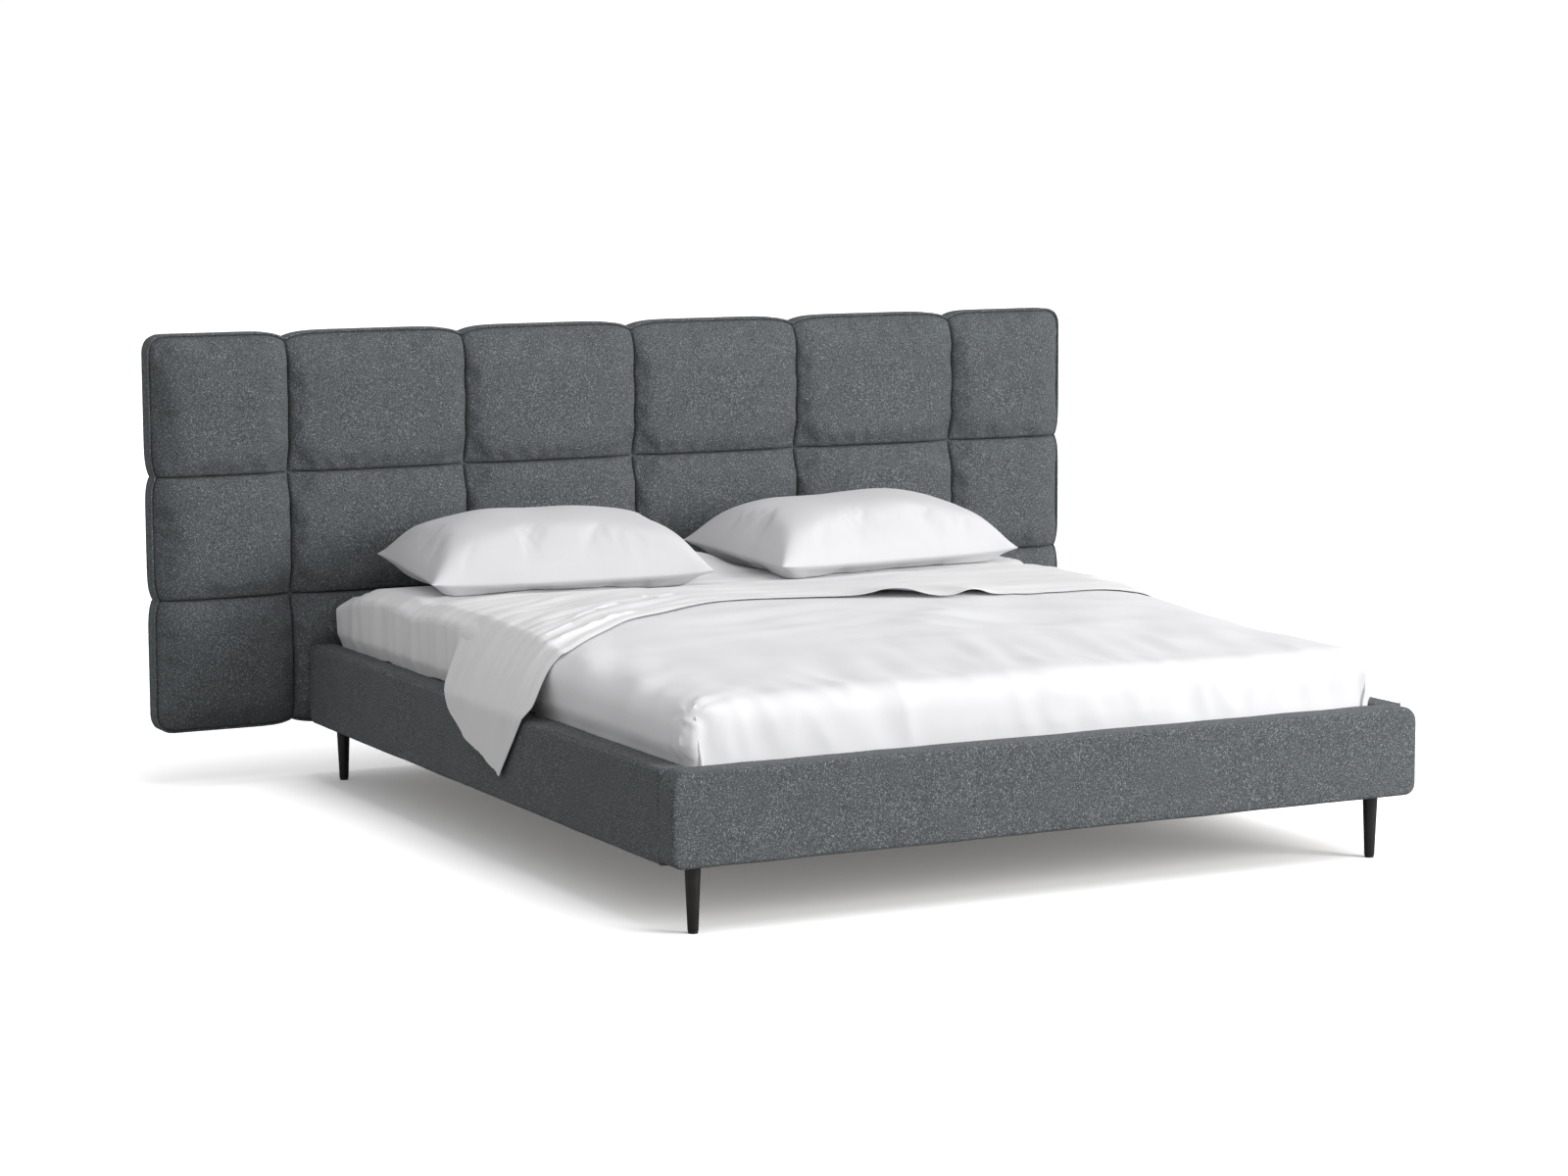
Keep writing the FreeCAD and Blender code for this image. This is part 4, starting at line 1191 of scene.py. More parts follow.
@dataclass
class BedFrame:
    """The padded rails and the finishes of the timber, slats and steel behind them."""

    top_round: float = 0.035
    bottom_round: float = 0.025
    end_round: float = 0.02
    edge_round: float = 0.009

    def foot_rail(self) -> PaddedRail:
        """Describes the foot rail's cover."""
        low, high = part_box("foot_rail_cover")
        return PaddedRail(
            "foot_rail_upholstery",
            "foot_rail_cover",
            "foot_rail_core",
            [
                Rounding(lambda m, d: near(m.y, high[1]) and abs(d.y) < 1e-5, 0.004, 3),
                Rounding(lambda m, d: along(d, 1) and near(m.z, high[2]), self.top_round, 8),
                Rounding(lambda m, d: along(d, 1) and near(m.z, low[2]), self.bottom_round, 8),
                Rounding(lambda m, d: near(m.y, low[1]) and abs(d.y) < 1e-5, self.edge_round),
            ],
            0,
            1.3,
        )

    def side_rail(self, word: str, side: int) -> PaddedRail:
        """Describes a side rail's cover.

        Args:
            word: left or right.
            side: -1 on the left, 1 on the right.

        Returns:
            The cover's description.
        """
        low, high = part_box(f"side_rail_{word}_cover")
        outer = high[0] if side > 0 else low[0]
        return PaddedRail(
            f"side_rail_{word}_upholstery",
            f"side_rail_{word}_cover",
            f"side_rail_{word}_core",
            [
                Rounding(lambda m, d: along(d, 0) and near(m.y, high[1]), self.end_round, 8),
                Rounding(lambda m, d: near(m.x, outer) and abs(d.x) < 1e-5, self.edge_round),
                Rounding(lambda m, d: along(d, 1) and near(m.z, high[2]), 0.004, 3),
            ],
            1,
            2.6 + side,
        )

    def build_leg(self, node: str) -> None:
        """Turns one tapered leg with a rounded foot."""
        low, high = (Vector(corner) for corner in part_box(node))
        centre = (low + high) / 2
        top_radius = (high.x - low.x) / 2
        foot_radius = top_radius * 2 / 3
        bpy.ops.object.select_all(action="DESELECT")
        bpy.ops.mesh.primitive_cone_add(
            vertices=56,
            radius1=foot_radius,
            radius2=top_radius,
            depth=high.z - low.z,
            location=centre,
        )
        leg = bpy.context.object
        leg.name = f"{node}_turned"
        leg.data.name = leg.name
        bpy.ops.object.transform_apply(location=True, rotation=False, scale=False)
        round_off(leg, [Rounding(lambda middle, _: near(middle.z, low.z), 0.0018, 4)])
        smooth(leg, 35)
        dress(leg, Body.FRAME, "leg_lacquer", [node])

    def dress_nodes(self) -> None:
        """Gives every node that stays its finish."""
        slots = {row["node"]: row["material_slot"] for row in frame["record"]["subparts"]}
        for node, item in frame["nodes"].items():
            material = material_for(slots[node])
            for slot in item.material_slots:
                slot.material = material

    def build(self) -> None:
        """Builds the rails and legs and dresses the rest."""
        self.dress_nodes()
        self.foot_rail().build()
        for word, side in (("left", -1), ("right", 1)):
            self.side_rail(word, side).build()
        for node in frame["nodes"]:
            if node.startswith("leg_front") or node.startswith("leg_rear"):
                self.build_leg(node)
        self.build_leg("centre_leg")


# ------------------------------------------------------------------ mattress


@dataclass
class Mattress:
    """A sprung mattress in ticking with a taped edge, inside a stretched fitted sheet."""

    tape_radius: float = 0.005
    cloth: float = 0.0014
    fold_depth: float = 0.006
    swell: float = 0.018
    rim: float = 0.035
    # Room at the head for the headboard's pads, which swell over the mattress as it lifts.
    head_room: float = 0.024
    tape_inset: float = 0.0045

    def soft_block(
        self, name: str, low: Vector, high: Vector, corner: float, edge: float, cell: float
    ) -> bpy.types.Object:
        """Makes a block with rounded corners and edges, divided into cells.

        Args:
            name: The piece's name.
            low: Lowest corner.
            high: Highest corner.
            corner: Radius of the upright corners.
            edge: Radius of the top and bottom edges.
            cell: Size of the cells.

        Returns:
            The block.
        """
        everywhere = [
            Rounding(lambda m, d: along(d, 2), corner, 10),
            Rounding(lambda m, d: abs(d.z) < 1e-5, edge, 5),
        ]
        block = raw_block(low, high)
        block.name = name
        block.data.name = name
        round_off(block, everywhere)
        slice_up(block, low, high, (0, 1, 2), cell)
        return block

    def build_core(self) -> None:
        """Makes the mattress in its ticking."""
        low, high = (Vector(corner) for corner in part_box("mattress"))
        high.y -= self.head_room
        core = self.soft_block("mattress_core", low, high, 0.04, 0.018, 0.04)
        points = coordinates(core)
        normals = directions(core)
        dents = -0.0014 * (1 + np.cos(math.tau * points[:, 0] / 0.2))
        dents *= 1 + np.cos(math.tau * points[:, 1] / 0.198)
        dents *= np.abs(normals[:, 2])
        set_coordinates(core, points + normals * dents[:, None] * 0.5)
        smooth(core, 50)
        dress(core, Body.MATTRESS, "ticking", ["mattress"])

    def displaced(self, points: np.ndarray, normals: np.ndarray) -> np.ndarray:
        """Works out how far the fitted sheet stands out in its soft folds.

        Args:
            points: The sheet's points.
            normals: Their directions.

        Returns:
            The distance of each.
        """
        low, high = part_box("fitted_sheet")
        drop = (high[2] - points[:, 2]) / (high[2] - low[2])
        around = np.where(
            np.abs(normals[:, 1]) > np.abs(normals[:, 0]), points[:, 0], points[:, 1]
        )
        flat = np.stack(
            [around / 0.052, points[:, 2] / 0.5, np.sign(points[:, 0]) * 3.0], axis=1
        )
        wave = ripple(flat, 1.0, 7.7)
        head = np.clip(0.35 + 0.65 * np.clip(points[:, 1] / 0.9, -0.5, 1), 0.1, 1)
        side = 1 - np.abs(normals[:, 2])
        reach = np.clip(drop * 1.6, 0, 1)
        folds = self.fold_depth * np.maximum(0, wave + 0.15) * side * reach * head
        pulls = 0.0008 * (1 + ripple(points, 0.12, 2.2)) * np.abs(normals[:, 2])
        swell = np.clip((points[:, 1] - 0.64) / 0.10, 0, 1)
        swell *= above_rail(points[:, 2]) * (np.abs(normals[:, 0]) > 0.3)
        return folds + pulls + self.swell * swell * side

    def build_sheet(self) -> None:
        """Makes the fitted sheet with its rim turned under."""
        low, high = (Vector(corner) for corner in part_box("fitted_sheet"))
        high.y -= self.head_room
        skin = self.soft_block("fitted_cotton_sheet", low, high, 0.042, 0.02, 0.018)
        points = coordinates(skin)
        normals = directions(skin)
        points += normals * self.displaced(points, normals)[:, None]
        points[:, 1] = np.minimum(points[:, 1], high.y + 0.006)
        set_coordinates(skin, points)
        alone(skin)
        bpy.ops.object.mode_set(mode="EDIT")
        bpy.ops.mesh.select_mode(type="FACE")
        bpy.ops.mesh.select_all(action="DESELECT")
        work = bmesh.from_edit_mesh(skin.data)
        for face in work.faces:
            middle = face.calc_center_median()
            inside_x = abs(middle.x) < high.x - self.rim
            inside_y = low.y + self.rim < middle.y < high.y - self.rim
            face.select = face.normal.z < -0.9 and inside_x and inside_y
        bmesh.update_edit_mesh(skin.data)
        bpy.ops.mesh.delete(type="FACE")
        bpy.ops.object.mode_set(mode="OBJECT")
        wall = skin.modifiers.new("wall", "SOLIDIFY")
        wall.thickness = self.cloth
        wall.offset = -1
        apply_all(skin)
        smooth(skin, 50)
        dress(skin, Body.MATTRESS, "fitted_sheet_cotton", ["fitted_sheet"])

    def build_tapes(self) -> None:
        """Makes the two taped edges."""
        low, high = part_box("mattress")
        for name, level in (("top", high[2] - 0.0115), ("bottom", low[2] + 0.0105)):
            path = rounded_outline(
                high[0] - self.tape_inset,
                low[1] + self.tape_inset,
                high[1] - self.head_room - self.tape_inset,
                0.04,
                0.02,
            )
            ring = np.column_stack([path, np.full(len(path), level)])
            tape = tube(f"mattress_tape_{name}", ring, self.tape_radius, 8, (0.0, 0.0, 1.0))
            smooth(tape, 80)
            dress(tape, Body.MATTRESS, "ticking")

    def build(self) -> None:
        """Builds the mattress and its sheet."""
        self.build_core()
        self.build_tapes()
        self.build_sheet()


def rounded_outline(
    half: float, near_end: float, far_end: float, radius: float, step: float
) -> np.ndarray:
    """A rounded rectangle seen from above.

    Args:
        half: Half its width.
        near_end: Its lowest y.
        far_end: Its highest y.
        radius: The corners' radius.
        step: The distance between points.

    Returns:
        n by 2 points round it.
    """
    corners = [
        (half - radius, near_end + radius, -90),
        (half - radius, far_end - radius, 0),
        (-half + radius, far_end - radius, 90),
        (-half + radius, near_end + radius, 180),
    ]
    points = []
    for index, (x, y, start) in enumerate(corners):
        for turn in range(9):
            angle = math.radians(start + 90 * turn / 8)
            points.append((x + radius * math.cos(angle), y + radius * math.sin(angle)))
        end = np.array(points[-1])
        ahead = corners[(index + 1) % 4]
        angle = math.radians(ahead[2])
        goal = np.array([ahead[0] + radius * math.cos(angle), ahead[1] + radius * math.sin(angle)])
        count = max(1, round(float(np.linalg.norm(goal - end)) / step))
        points += [tuple(end + (goal - end) * k / count) for k in range(1, count)]
    return np.array(points)


# ------------------------------------------------------------------ duvet


def streaks(
    points: np.ndarray, angle: float, short: float, long: float, seed: float
) -> np.ndarray:
    """Random ridges that run along one direction seen from above.

    Args:
        points: n by 3 points.
        angle: The ridges' direction from +X, in degrees.
        short: Size across the ridges, in metres.
        long: Size along them.
        seed: Picks another pattern.

    Returns:
        Values from -1 to 1.
    """
    turn = math.radians(angle)
    run = points[:, 0] * math.cos(turn) + points[:, 1] * math.sin(turn)
    across = points[:, 1] * math.cos(turn) - points[:, 0] * math.sin(turn)
    return ripple(np.stack([run / long, across / short, points[:, 2] * 2], axis=1), 1.0, seed)


def spot(points: np.ndarray, x: float, y: float, reach_x: float, reach_y: float) -> np.ndarray:
    """A soft round patch of strength from 0 to 1, seen from above."""
    return np.exp(-(((points[:, 0] - x) / reach_x) ** 2) - ((points[:, 1] - y) / reach_y) ** 2)


@dataclass
class Duvet:
    """A down duvet laid over the foot of the bed and tucked in at the foot and sides."""

    cell: float = 0.0085
    half: float = 0.8215
    bulge: float = 0.0125
    corner: float = 0.032
    shoulder: float = 0.13
    foot_shoulder: float = 0.075
    roundness: float = 3.0
    bed_top: float = 0.4285
    skirt_bottom: float = 0.258
    inner_half: float = 0.8045
    profile: tuple[tuple[float, float], ...] = (
        (-1.02, 0.462),
        (-0.82, 0.463),
        (-0.62, 0.467),
        (-0.40, 0.472),
        (-0.22, 0.485),
        (-0.06, 0.497),
        (0.10, 0.502),
        (0.25, 0.501),
        (0.42, 0.487),
        (0.55, 0.466),
        (0.63, 0.447),
    )

    def crest(self, y: np.ndarray) -> np.ndarray:
        """The height of the top along the bed."""
        places, heights = zip(*self.profile)
        return np.interp(y, places, heights)

    def levels(self) -> list[tuple[float, float, float]]:
        """The skin's rings, from the flat top outwards and down.

        Returns:
            Share of the shoulder's width still to go, share of the fall done, and share of
            the skirt done.
        """
        rings = []
        for step in range(1, 17):
            angle = math.pi / 2 * step / 16
            power = 2 / self.roundness
            rings.append((1 - math.sin(angle) ** power, 1 - math.cos(angle) ** power, 0.0))
        for step in range(1, 17):
            rings.append((0.0, 1.0, step / 16))
        return rings

    def ring(self, share: float, taus: list[np.ndarray]) -> np.ndarray:
        """One ring seen from above.

        Args:
            share: Share of the shoulder's width that it is set in.
            taus: For each side, the places along it from 0 to 1.

        Returns:
            n by 2 points.
        """
        low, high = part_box("duvet")
        near_end = low[1] + self.foot_shoulder * share
        far_end = high[1] - self.foot_shoulder * share
        half = self.half - self.shoulder * share
        radius = self.corner * (1 - share)
        corners = [(half, near_end), (half, far_end), (-half, far_end), (-half, near_end)]
        rows = []
        for index, places in enumerate(taus):
            start = np.array(corners[(index + 3) % 4])
            end = np.array(corners[index])
            heading = (end - start) / np.linalg.norm(end - start)
            outward_of = np.array([heading[1], -heading[0]])
            length = float(np.linalg.norm(end - start))
            arc = radius * math.pi / 4
            straight = length - 2 * radius
            total = 2 * arc + straight
            for place in places:
                run = place * total
                if run < arc:
                    angle = (arc - run) / max(radius, 1e-9)
                    spot_at = (
                        start
                        + heading * (radius - radius * math.sin(angle))
                        - outward_of * (radius - radius * math.cos(angle))
                    )
                elif run > arc + straight:
                    angle = (run - arc - straight) / max(radius, 1e-9)
                    spot_at = (
                        end
                        - heading * (radius - radius * math.sin(angle))
                        - outward_of * (radius - radius * math.cos(angle))
                    )
                else:
                    spot_at = start + heading * (radius + run - arc)
                rows.append(spot_at)
        return np.array(rows)

    def skirt_end(self, points: np.ndarray) -> np.ndarray:
        """The height at which the skirt ends, at each place of the outline."""
        rise = ease(np.clip((points[:, 1] + 0.03) / 0.10, 0, 1))
        return self.skirt_bottom + (self.bed_top + 0.004 - self.skirt_bottom) * rise

    def build_skin(self) -> tuple[np.ndarray, list[tuple], int]:
        """Lays out the closed skin.

        Returns:
            Its points, its faces and the number of points that belong to the outer side.
        """
        low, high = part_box("duvet")
        half = self.half - self.shoulder
        near_end = low[1] + self.foot_shoulder
        far_end = high[1] - self.foot_shoulder
        columns = round(2 * half / self.cell) + 1
        rows = round((far_end - near_end) / self.cell) + 1
        xs = np.linspace(-half, half, columns)
        ys = np.linspace(near_end, far_end, rows)
        grid_x, grid_y = np.meshgrid(xs, ys)
        points = [np.stack([grid_x, grid_y, self.crest(grid_y)], axis=-1).reshape(-1, 3)]
        faces = grid_faces(rows, columns)
        taus = [np.linspace(0, 1, columns)[:-1], np.linspace(0, 1, rows)[:-1]] * 2
        count = rows * columns
        before = grid_rim(rows, columns)
        for inset, fall, skirt in self.levels():
            flat = self.ring(inset, taus)
            crest = self.crest(flat[:, 1])
            end = self.skirt_end(flat)
            turn = np.maximum(end + 0.002, np.minimum(crest - 0.012, 0.388))
            height = crest - (crest - turn) * fall
            height = height + (end - height) * skirt
            above = above_rail(height) * (np.abs(flat[:, 0]) > 0.75)
            flat[:, 0] += np.sign(flat[:, 0]) * self.bulge * above * (1 - inset)
            points.append(np.column_stack([flat, height]))
            here = list(range(count, count + len(flat)))
            faces += self.band(before, here)
            before = here
            count += len(flat)
        outer = count
        low_ring = points[-1].copy()
        thin = np.minimum(1, self.inner_half / np.abs(low_ring[:, 0]))
        foot = low[1] + 0.0165
        inner_x = low_ring[:, 0] * np.where(np.abs(low_ring[:, 0]) > 0.74, thin, 1)
        inner_y = np.maximum(low_ring[:, 1], foot)
        for share in (0.0, 0.5, 1.0):
            height = low_ring[:, 2] + (self.bed_top - low_ring[:, 2]) * share
            height = np.where(low_ring[:, 2] > self.bed_top, self.bed_top, height)
            points.append(np.column_stack([inner_x, inner_y, height]))
            here = list(range(count, count + len(low_ring)))
            faces += self.band(before, here)
            before = here
            count += len(low_ring)
        faces.append(tuple(before))
        return np.concatenate(points), faces, outer

    @staticmethod
    def band(first: Sequence[int], second: Sequence[int]) -> list[tuple]:
        """Faces between two rings of the same length."""
        faces = []
        for index in range(len(first)):
            after = (index + 1) % len(first)
            faces.append((first[index], second[index], second[after], first[after]))
        return faces

    def folds(self, points: np.ndarray) -> np.ndarray:
        """How far each point of the outer side stands out in mounds, ridges and creases.

        Args:
            points: The outer points.

        Returns:
            The distance of each.
        """
        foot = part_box("duvet")[0][1]
        mounds = 0.0060 * ripple(points, 0.34, 4.4) + 0.0034 * ripple(points, 0.15, 9.1)
        near_hem = spot(points, 0.32, -0.30, 0.36, 0.20)
        ridge = 1 - np.abs(streaks(points, -36, 0.085, 0.40, 3.3)) * 2.2
        waves = 0.0150 * near_hem * ridge
        waves += 0.0060 * spot(points, -0.25, -0.20, 0.30, 0.20) * streaks(
            points, 12, 0.06, 0.5, 2.4
        )
        middle = spot(points, 0.15, -0.76, 0.62, 0.26)
        fans = 0.0066 * middle * streaks(points, 74, 0.07, 0.36, 6.1)
        face = np.clip((foot + 0.24 - points[:, 1]) / 0.2, 0, 1)
        uprights = np.stack(
            [
                (points[:, 0] + 0.25 * (points[:, 2] - 0.4)) / 0.075,
                points[:, 2] / 0.30 + points[:, 1] / 0.4,
                points[:, 1] * 0,
            ],
            axis=1,
        )
        pleats = 0.0036 * face * (1 - 2 * np.abs(ripple(uprights, 1.0, 5.7)))
        result = mounds + waves + fans + pleats
        for side in (-1, 1):
            tip = np.array([side * 0.818, foot + 0.010, 0.440])
            away = points - tip
            distance = np.linalg.norm(away, axis=1)
            turn = np.arctan2(away[:, 1], -side * away[:, 0])
            rays = np.cos(9 * turn + 0.8 * np.sin(3 * turn))
            fade = np.clip(distance / 0.02, 0, 1) * np.exp(-distance / 0.11)
            result += 0.0045 * rays * fade
            result -= 0.005 * np.exp(-((distance / 0.022) ** 2))
            slope = np.clip((np.abs(points[:, 0]) - 0.58) / 0.2, 0, 1)
            diagonals = streaks(points * [1, side, 1], 128, 0.06, 0.30, 8.0 + side)
            result += 0.0062 * slope * diagonals * (side * points[:, 0] > 0)
        return result

    def build(self) -> bpy.types.Object:
        """Builds the duvet and returns it."""
        points, faces, outer = self.build_skin()
        duvet = mesh_piece("duvet_filled", points, faces)
        alone(duvet)
        bpy.ops.object.mode_set(mode="EDIT")
        bpy.ops.mesh.select_all(action="SELECT")
        bpy.ops.mesh.normals_make_consistent(inside=False)
        bpy.ops.object.mode_set(mode="OBJECT")
        points = coordinates(duvet)
        normals = directions(duvet)
        skin = points[:outer]
        shown = np.clip((skin[:, 2] - 0.315) / 0.05, 0, 1)
        points[:outer] += normals[:outer] * (self.folds(skin) * shown)[:, None]
        set_coordinates(duvet, points)
        self.puff(duvet, outer)
        self.keep_clear(duvet, outer)
        smooth(duvet, 60)
        dress(duvet, Body.DUVET, "duvet_cotton", ["duvet"])
        self.build_corner_folds()
        return duvet

    def puff(self, duvet: bpy.types.Object, outer: int) -> None:
        """Lets the cover swell and buckle a little, held at its skirts.

        Args:
            duvet: The duvet.
            outer: The number of outer points.
        """
        points = coordinates(duvet)
        held = np.ones(len(points))
        held[:outer] = np.clip((0.36 - points[:outer, 2]) / 0.02, 0, 1)
        run = ClothRun(frames=9, pressure=1.4, growth=0.04, cap=0.012, bending=0.25, quality=4)
        simulate(duvet, run, held)

    def keep_clear(self, duvet: bpy.types.Object, outer: int) -> None:
        """Presses the duvet clear of the rails, the foot rail and the mattress.

        Args:
            duvet: The duvet.
            outer: The number of outer points.
        """
        points = coordinates(duvet)
        skin = points[:outer]
        rail = np.clip((0.358 - skin[:, 2]) / 0.018, 0, 1)
        reach = 0.842 - 0.0185 * rail
        skin[:, 0] = np.clip(skin[:, 0], -reach, reach)
        foot_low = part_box("duvet")[0][1]
        skin[:, 1] = np.maximum(skin[:, 1], foot_low - 0.006 + 0.0035 * rail)
        skin[:, 2] = np.where(
            skin[:, 1] > 0.10, np.maximum(skin[:, 2], self.bed_top + 0.0015), skin[:, 2]
        )
        over_bed = (np.abs(skin[:, 0]) < 0.806) & (skin[:, 1] > foot_low + 0.02)
        skin[:, 2] = np.where(over_bed, np.maximum(skin[:, 2], self.bed_top + 0.0025), skin[:, 2])
        points[:outer] = skin
        set_coordinates(duvet, points)

    def build_corner_folds(self) -> None:
        """Makes the folded edge of the cover at each foot corner."""
        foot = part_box("duvet")[0][1]
        for side, word, top in ((-1, "left", 0.432), (1, "right", 0.424)):
            rows = []
            for step in range(15):
                share = step / 14
                height = top - (top - 0.262) * share
                lean = 0.004 * math.sin(3 * share)
                width = 0.010 * min(1.0, 0.15 + share * 1.6)
                middle = 0.797 + 0.006 * float(above_rail(height))
                row = []
                for k in range(7):
                    across = k / 6
                    x = side * (middle - lean + width * (across - 0.5))
                    bulge = 0.0028 * math.sqrt(max(0.0, 1 - (2 * across - 1) ** 2))
                    y = foot - 0.0010 - bulge + 0.008 * (1 - min(1.0, share * 3))
                    row.append((x, y, height))
                rows.append(row)
            front = np.array(rows)
            back = front.copy()
            back[..., 1] = foot + 0.012
            fold = closed_pair(f"duvet_corner_fold_{word}", front, back)
            subdivide(fold)
            smooth(fold, 70)
            dress(fold, Body.DUVET, "duvet_cotton")


# ------------------------------------------------------------------ top sheet


@dataclass
class TopSheet:
    """A cotton sheet spread from the pillows over the duvet's head end; its left side hangs
    over the side rail in a pointed corner, and further up it is tucked in."""

    right: float = 0.828
    edge: float = 0.79
    head: float = 0.93
    lift: float = 0.0018
    cloth: float = 0.0016
    cell: float = 0.009
    rail_edge: tuple[float, float] = (-0.8945, 0.3395)
    tuck_x: float = -0.8175
    hem_depth: float = 0.024
    # Places across the bed and how far down it the hem reaches there.
    hem: tuple[tuple[float, float], ...] = (
        (-0.90, -0.352),
        (-0.80, -0.345),
        (-0.69, -0.245),
        (-0.52, -0.085),
        (-0.31, 0.035),
        (-0.13, 0.065),
        (0.07, 0.02),
        (0.20, -0.07),
        (0.35, -0.115),
        (0.58, -0.115),
        (0.82, -0.16),
    )

    def hem_at(self, x: np.ndarray) -> np.ndarray:
        """Where the hem lies along the bed, smoothed, for places across it."""
        places, reach = zip(*self.hem)
        total = np.zeros_like(x)
        for shift in (-0.06, -0.03, 0.0, 0.03, 0.06):
            total += np.interp(x + shift, places, reach)
        return total / 5

    def height_map(self, over: Sequence[bpy.types.Object]) -> Callable[[float, float], float]:
        """Makes a function that finds the top of the bedding under a place.

        Args:
            over: The pieces that the sheet lies on.

        Returns:
            The function, from x and y to a height.
        """
        graph = bpy.context.evaluated_depsgraph_get()
        trees = [BVHTree.FromObject(piece, graph) for piece in over]

        def height(x: float, y: float) -> float:
            """The highest piece at one place."""
            best = 0.0
            for tree in trees:
                hit = tree.ray_cast(Vector((x, y, 1.0)), Vector((0, 0, -1)))[0]
                if hit is not None:
                    best = max(best, hit.z)
            return best

        return height

    def drop_length(self, y: float) -> tuple[float, float]:
        """How far the left side falls past the edge, and how far it is outside the rail.

        Args:
            y: Place along the bed.

        Returns:
            The length of the fall, and 1 outside the rail to 0 tucked inside it.
        """
        places = [-0.36, -0.20, -0.05, 0.062, 0.105, 0.125]
        lengths = [SLOPE_LENGTH + hang for hang in (0.168, 0.155, 0.130, 0.082, 0.028)]
        free = np.interp(y, places, lengths + [0.085])
        tucked = np.interp(y, [0.16, 0.20], [0.085, 0.165])
        outside = ease(1 - np.clip((y - 0.125) / 0.035, 0, 1))
        return (float(free) if y < TUCKED_FROM else float(tucked)), float(outside)

    def side_point(self, y: float, edge_height: float, run: float) -> Vector:
        """A point of the falling side.

        Args:
            y: Place along the bed.
            edge_height: Height of the bedding at the edge.
            run: Distance past the edge.

        Returns:
            The point.
        """
        start = Vector((-self.edge, y, edge_height))
        corner = Vector((self.rail_edge[0], y, self.rail_edge[1]))
        fall = corner - start
        if run < fall.length:
            bow = math.sin(math.pi * run / fall.length)
            outside = start + fall * (run / fall.length) + Vector((-0.006, 0, 0.010)) * bow
        else:
            flare = min(1.0, (run - fall.length) / 0.12)
            outside = corner + Vector((-0.004 * flare, 0, -(run - fall.length)))
        bend = min(1.0, run / 0.035)
        inside = Vector(
            (-self.edge + (self.tuck_x + self.edge) * bend, y, edge_height - run + 0.012 * bend)
        )
        inside.x -= 0.012 * bend * float(above_rail(inside.z))
        share = self.drop_length(y)[1]
        return inside.lerp(outside, share)

    def folds(self, x: np.ndarray, c: np.ndarray, points: np.ndarray) -> np.ndarray:
        """How far the sheet's long shallow folds stand up.

        Args:
            x: Distance across the sheet, less than -edge past the left edge.
            c: Share of the way from the hem to the head end.
            points: The sheet's points.

        Returns:
            The distance of each.
        """
        left = np.clip((0.15 - x) / 0.7, 0, 1)
        close = np.exp(-((c / 0.42) ** 2))
        lines = np.stack([x / 0.8, c / 0.038 + 1.2 * np.sin(2.2 * x), x * 0], axis=1)
        fine = np.stack([x / 0.5, c / 0.017 + 2.0 * np.sin(1.7 * x + 1), x * 0], axis=1)
        broad = np.stack([x / 0.5, c / 0.10 + 0.8 * np.sin(2.0 * x), x * 0], axis=1)
        sharp = np.clip(1 - 3.2 * np.abs(ripple(lines, 1.0, 11.0)), 0, 1)
        result = sharp * (0.0024 + 0.0060 * close * (0.5 + 0.5 * left))
        result += 0.0024 * np.clip(1 - 4 * np.abs(ripple(fine, 1.0, 5.0)), 0, 1) * close
        result += 0.0055 * (1 + ripple(broad, 1.0, 15.0)) * (0.35 + 0.65 * left)
        for middle, reach, rise in ((0.175, 0.055, 0.013), (0.345, 0.035, 0.009)):
            result += rise * np.exp(-(((x - middle) / reach) ** 2) - (c / 0.10) ** 2)
        past = -self.edge - x
        result *= 1 - 0.7 * np.clip(past / 0.22, 0, 1)
        upright = np.stack([points[:, 1] / 0.045, points[:, 2] / 0.4, x * 0], axis=1)
        tucked = np.clip((points[:, 1] - TUCKED_FROM) / 0.06, 0, 1) * np.clip(past / 0.03, 0, 1)
        result += 0.0075 * tucked * np.clip(0.2 + ripple(upright, 1.0, 3.9), 0, 1)
        return result

    def layout(self, over: Sequence[bpy.types.Object]) -> tuple[np.ndarray, np.ndarray, np.ndarray]:
        """Lays the sheet on the bedding.

        Args:
            over: The pieces that it lies on.

        Returns:
            Rows by columns by 3 points, and each point's place across and its share of the
            way from the hem.
        """
        height = self.height_map(over)
        across = np.linspace(self.right, -self.edge, round((self.right + self.edge) / self.cell))
        falls = np.linspace(0, 1, 34)[1:]
        shares = np.concatenate(
            [np.linspace(0, 0.05, 12), np.linspace(0.05, 1, 92)[1:]]
        )
        grid = np.zeros((len(shares), len(across) + len(falls), 3))
        place = np.zeros(grid.shape[:2])
        hems = self.hem_at(across)
        for row, share in enumerate(shares):
            for column, x in enumerate(across):
                y = hems[column] + (self.head - hems[column]) * share
                z = max(height(float(x), float(y)), self.bridge(float(x), float(y)))
                grid[row, column] = (x, y, z + self.lift)
                place[row, column] = x
        top = grid[:, : len(across), 2]
        grid[:, : len(across), 2] = self.soften(top)
        for row in range(len(shares)):
            x, y, z = grid[row, len(across) - 1]
            length = self.drop_length(float(y))[0]
            for step, fall in enumerate(falls):
                column = len(across) + step
                run = length * fall
                swing = self.swing(float(y), run)
                point = self.side_point(float(y), float(z), run)
                grid[row, column] = (point.x, y + swing, point.z)
                place[row, column] = -self.edge - run
        c = np.repeat(shares[:, None], grid.shape[1], axis=1)
        return grid, place, c

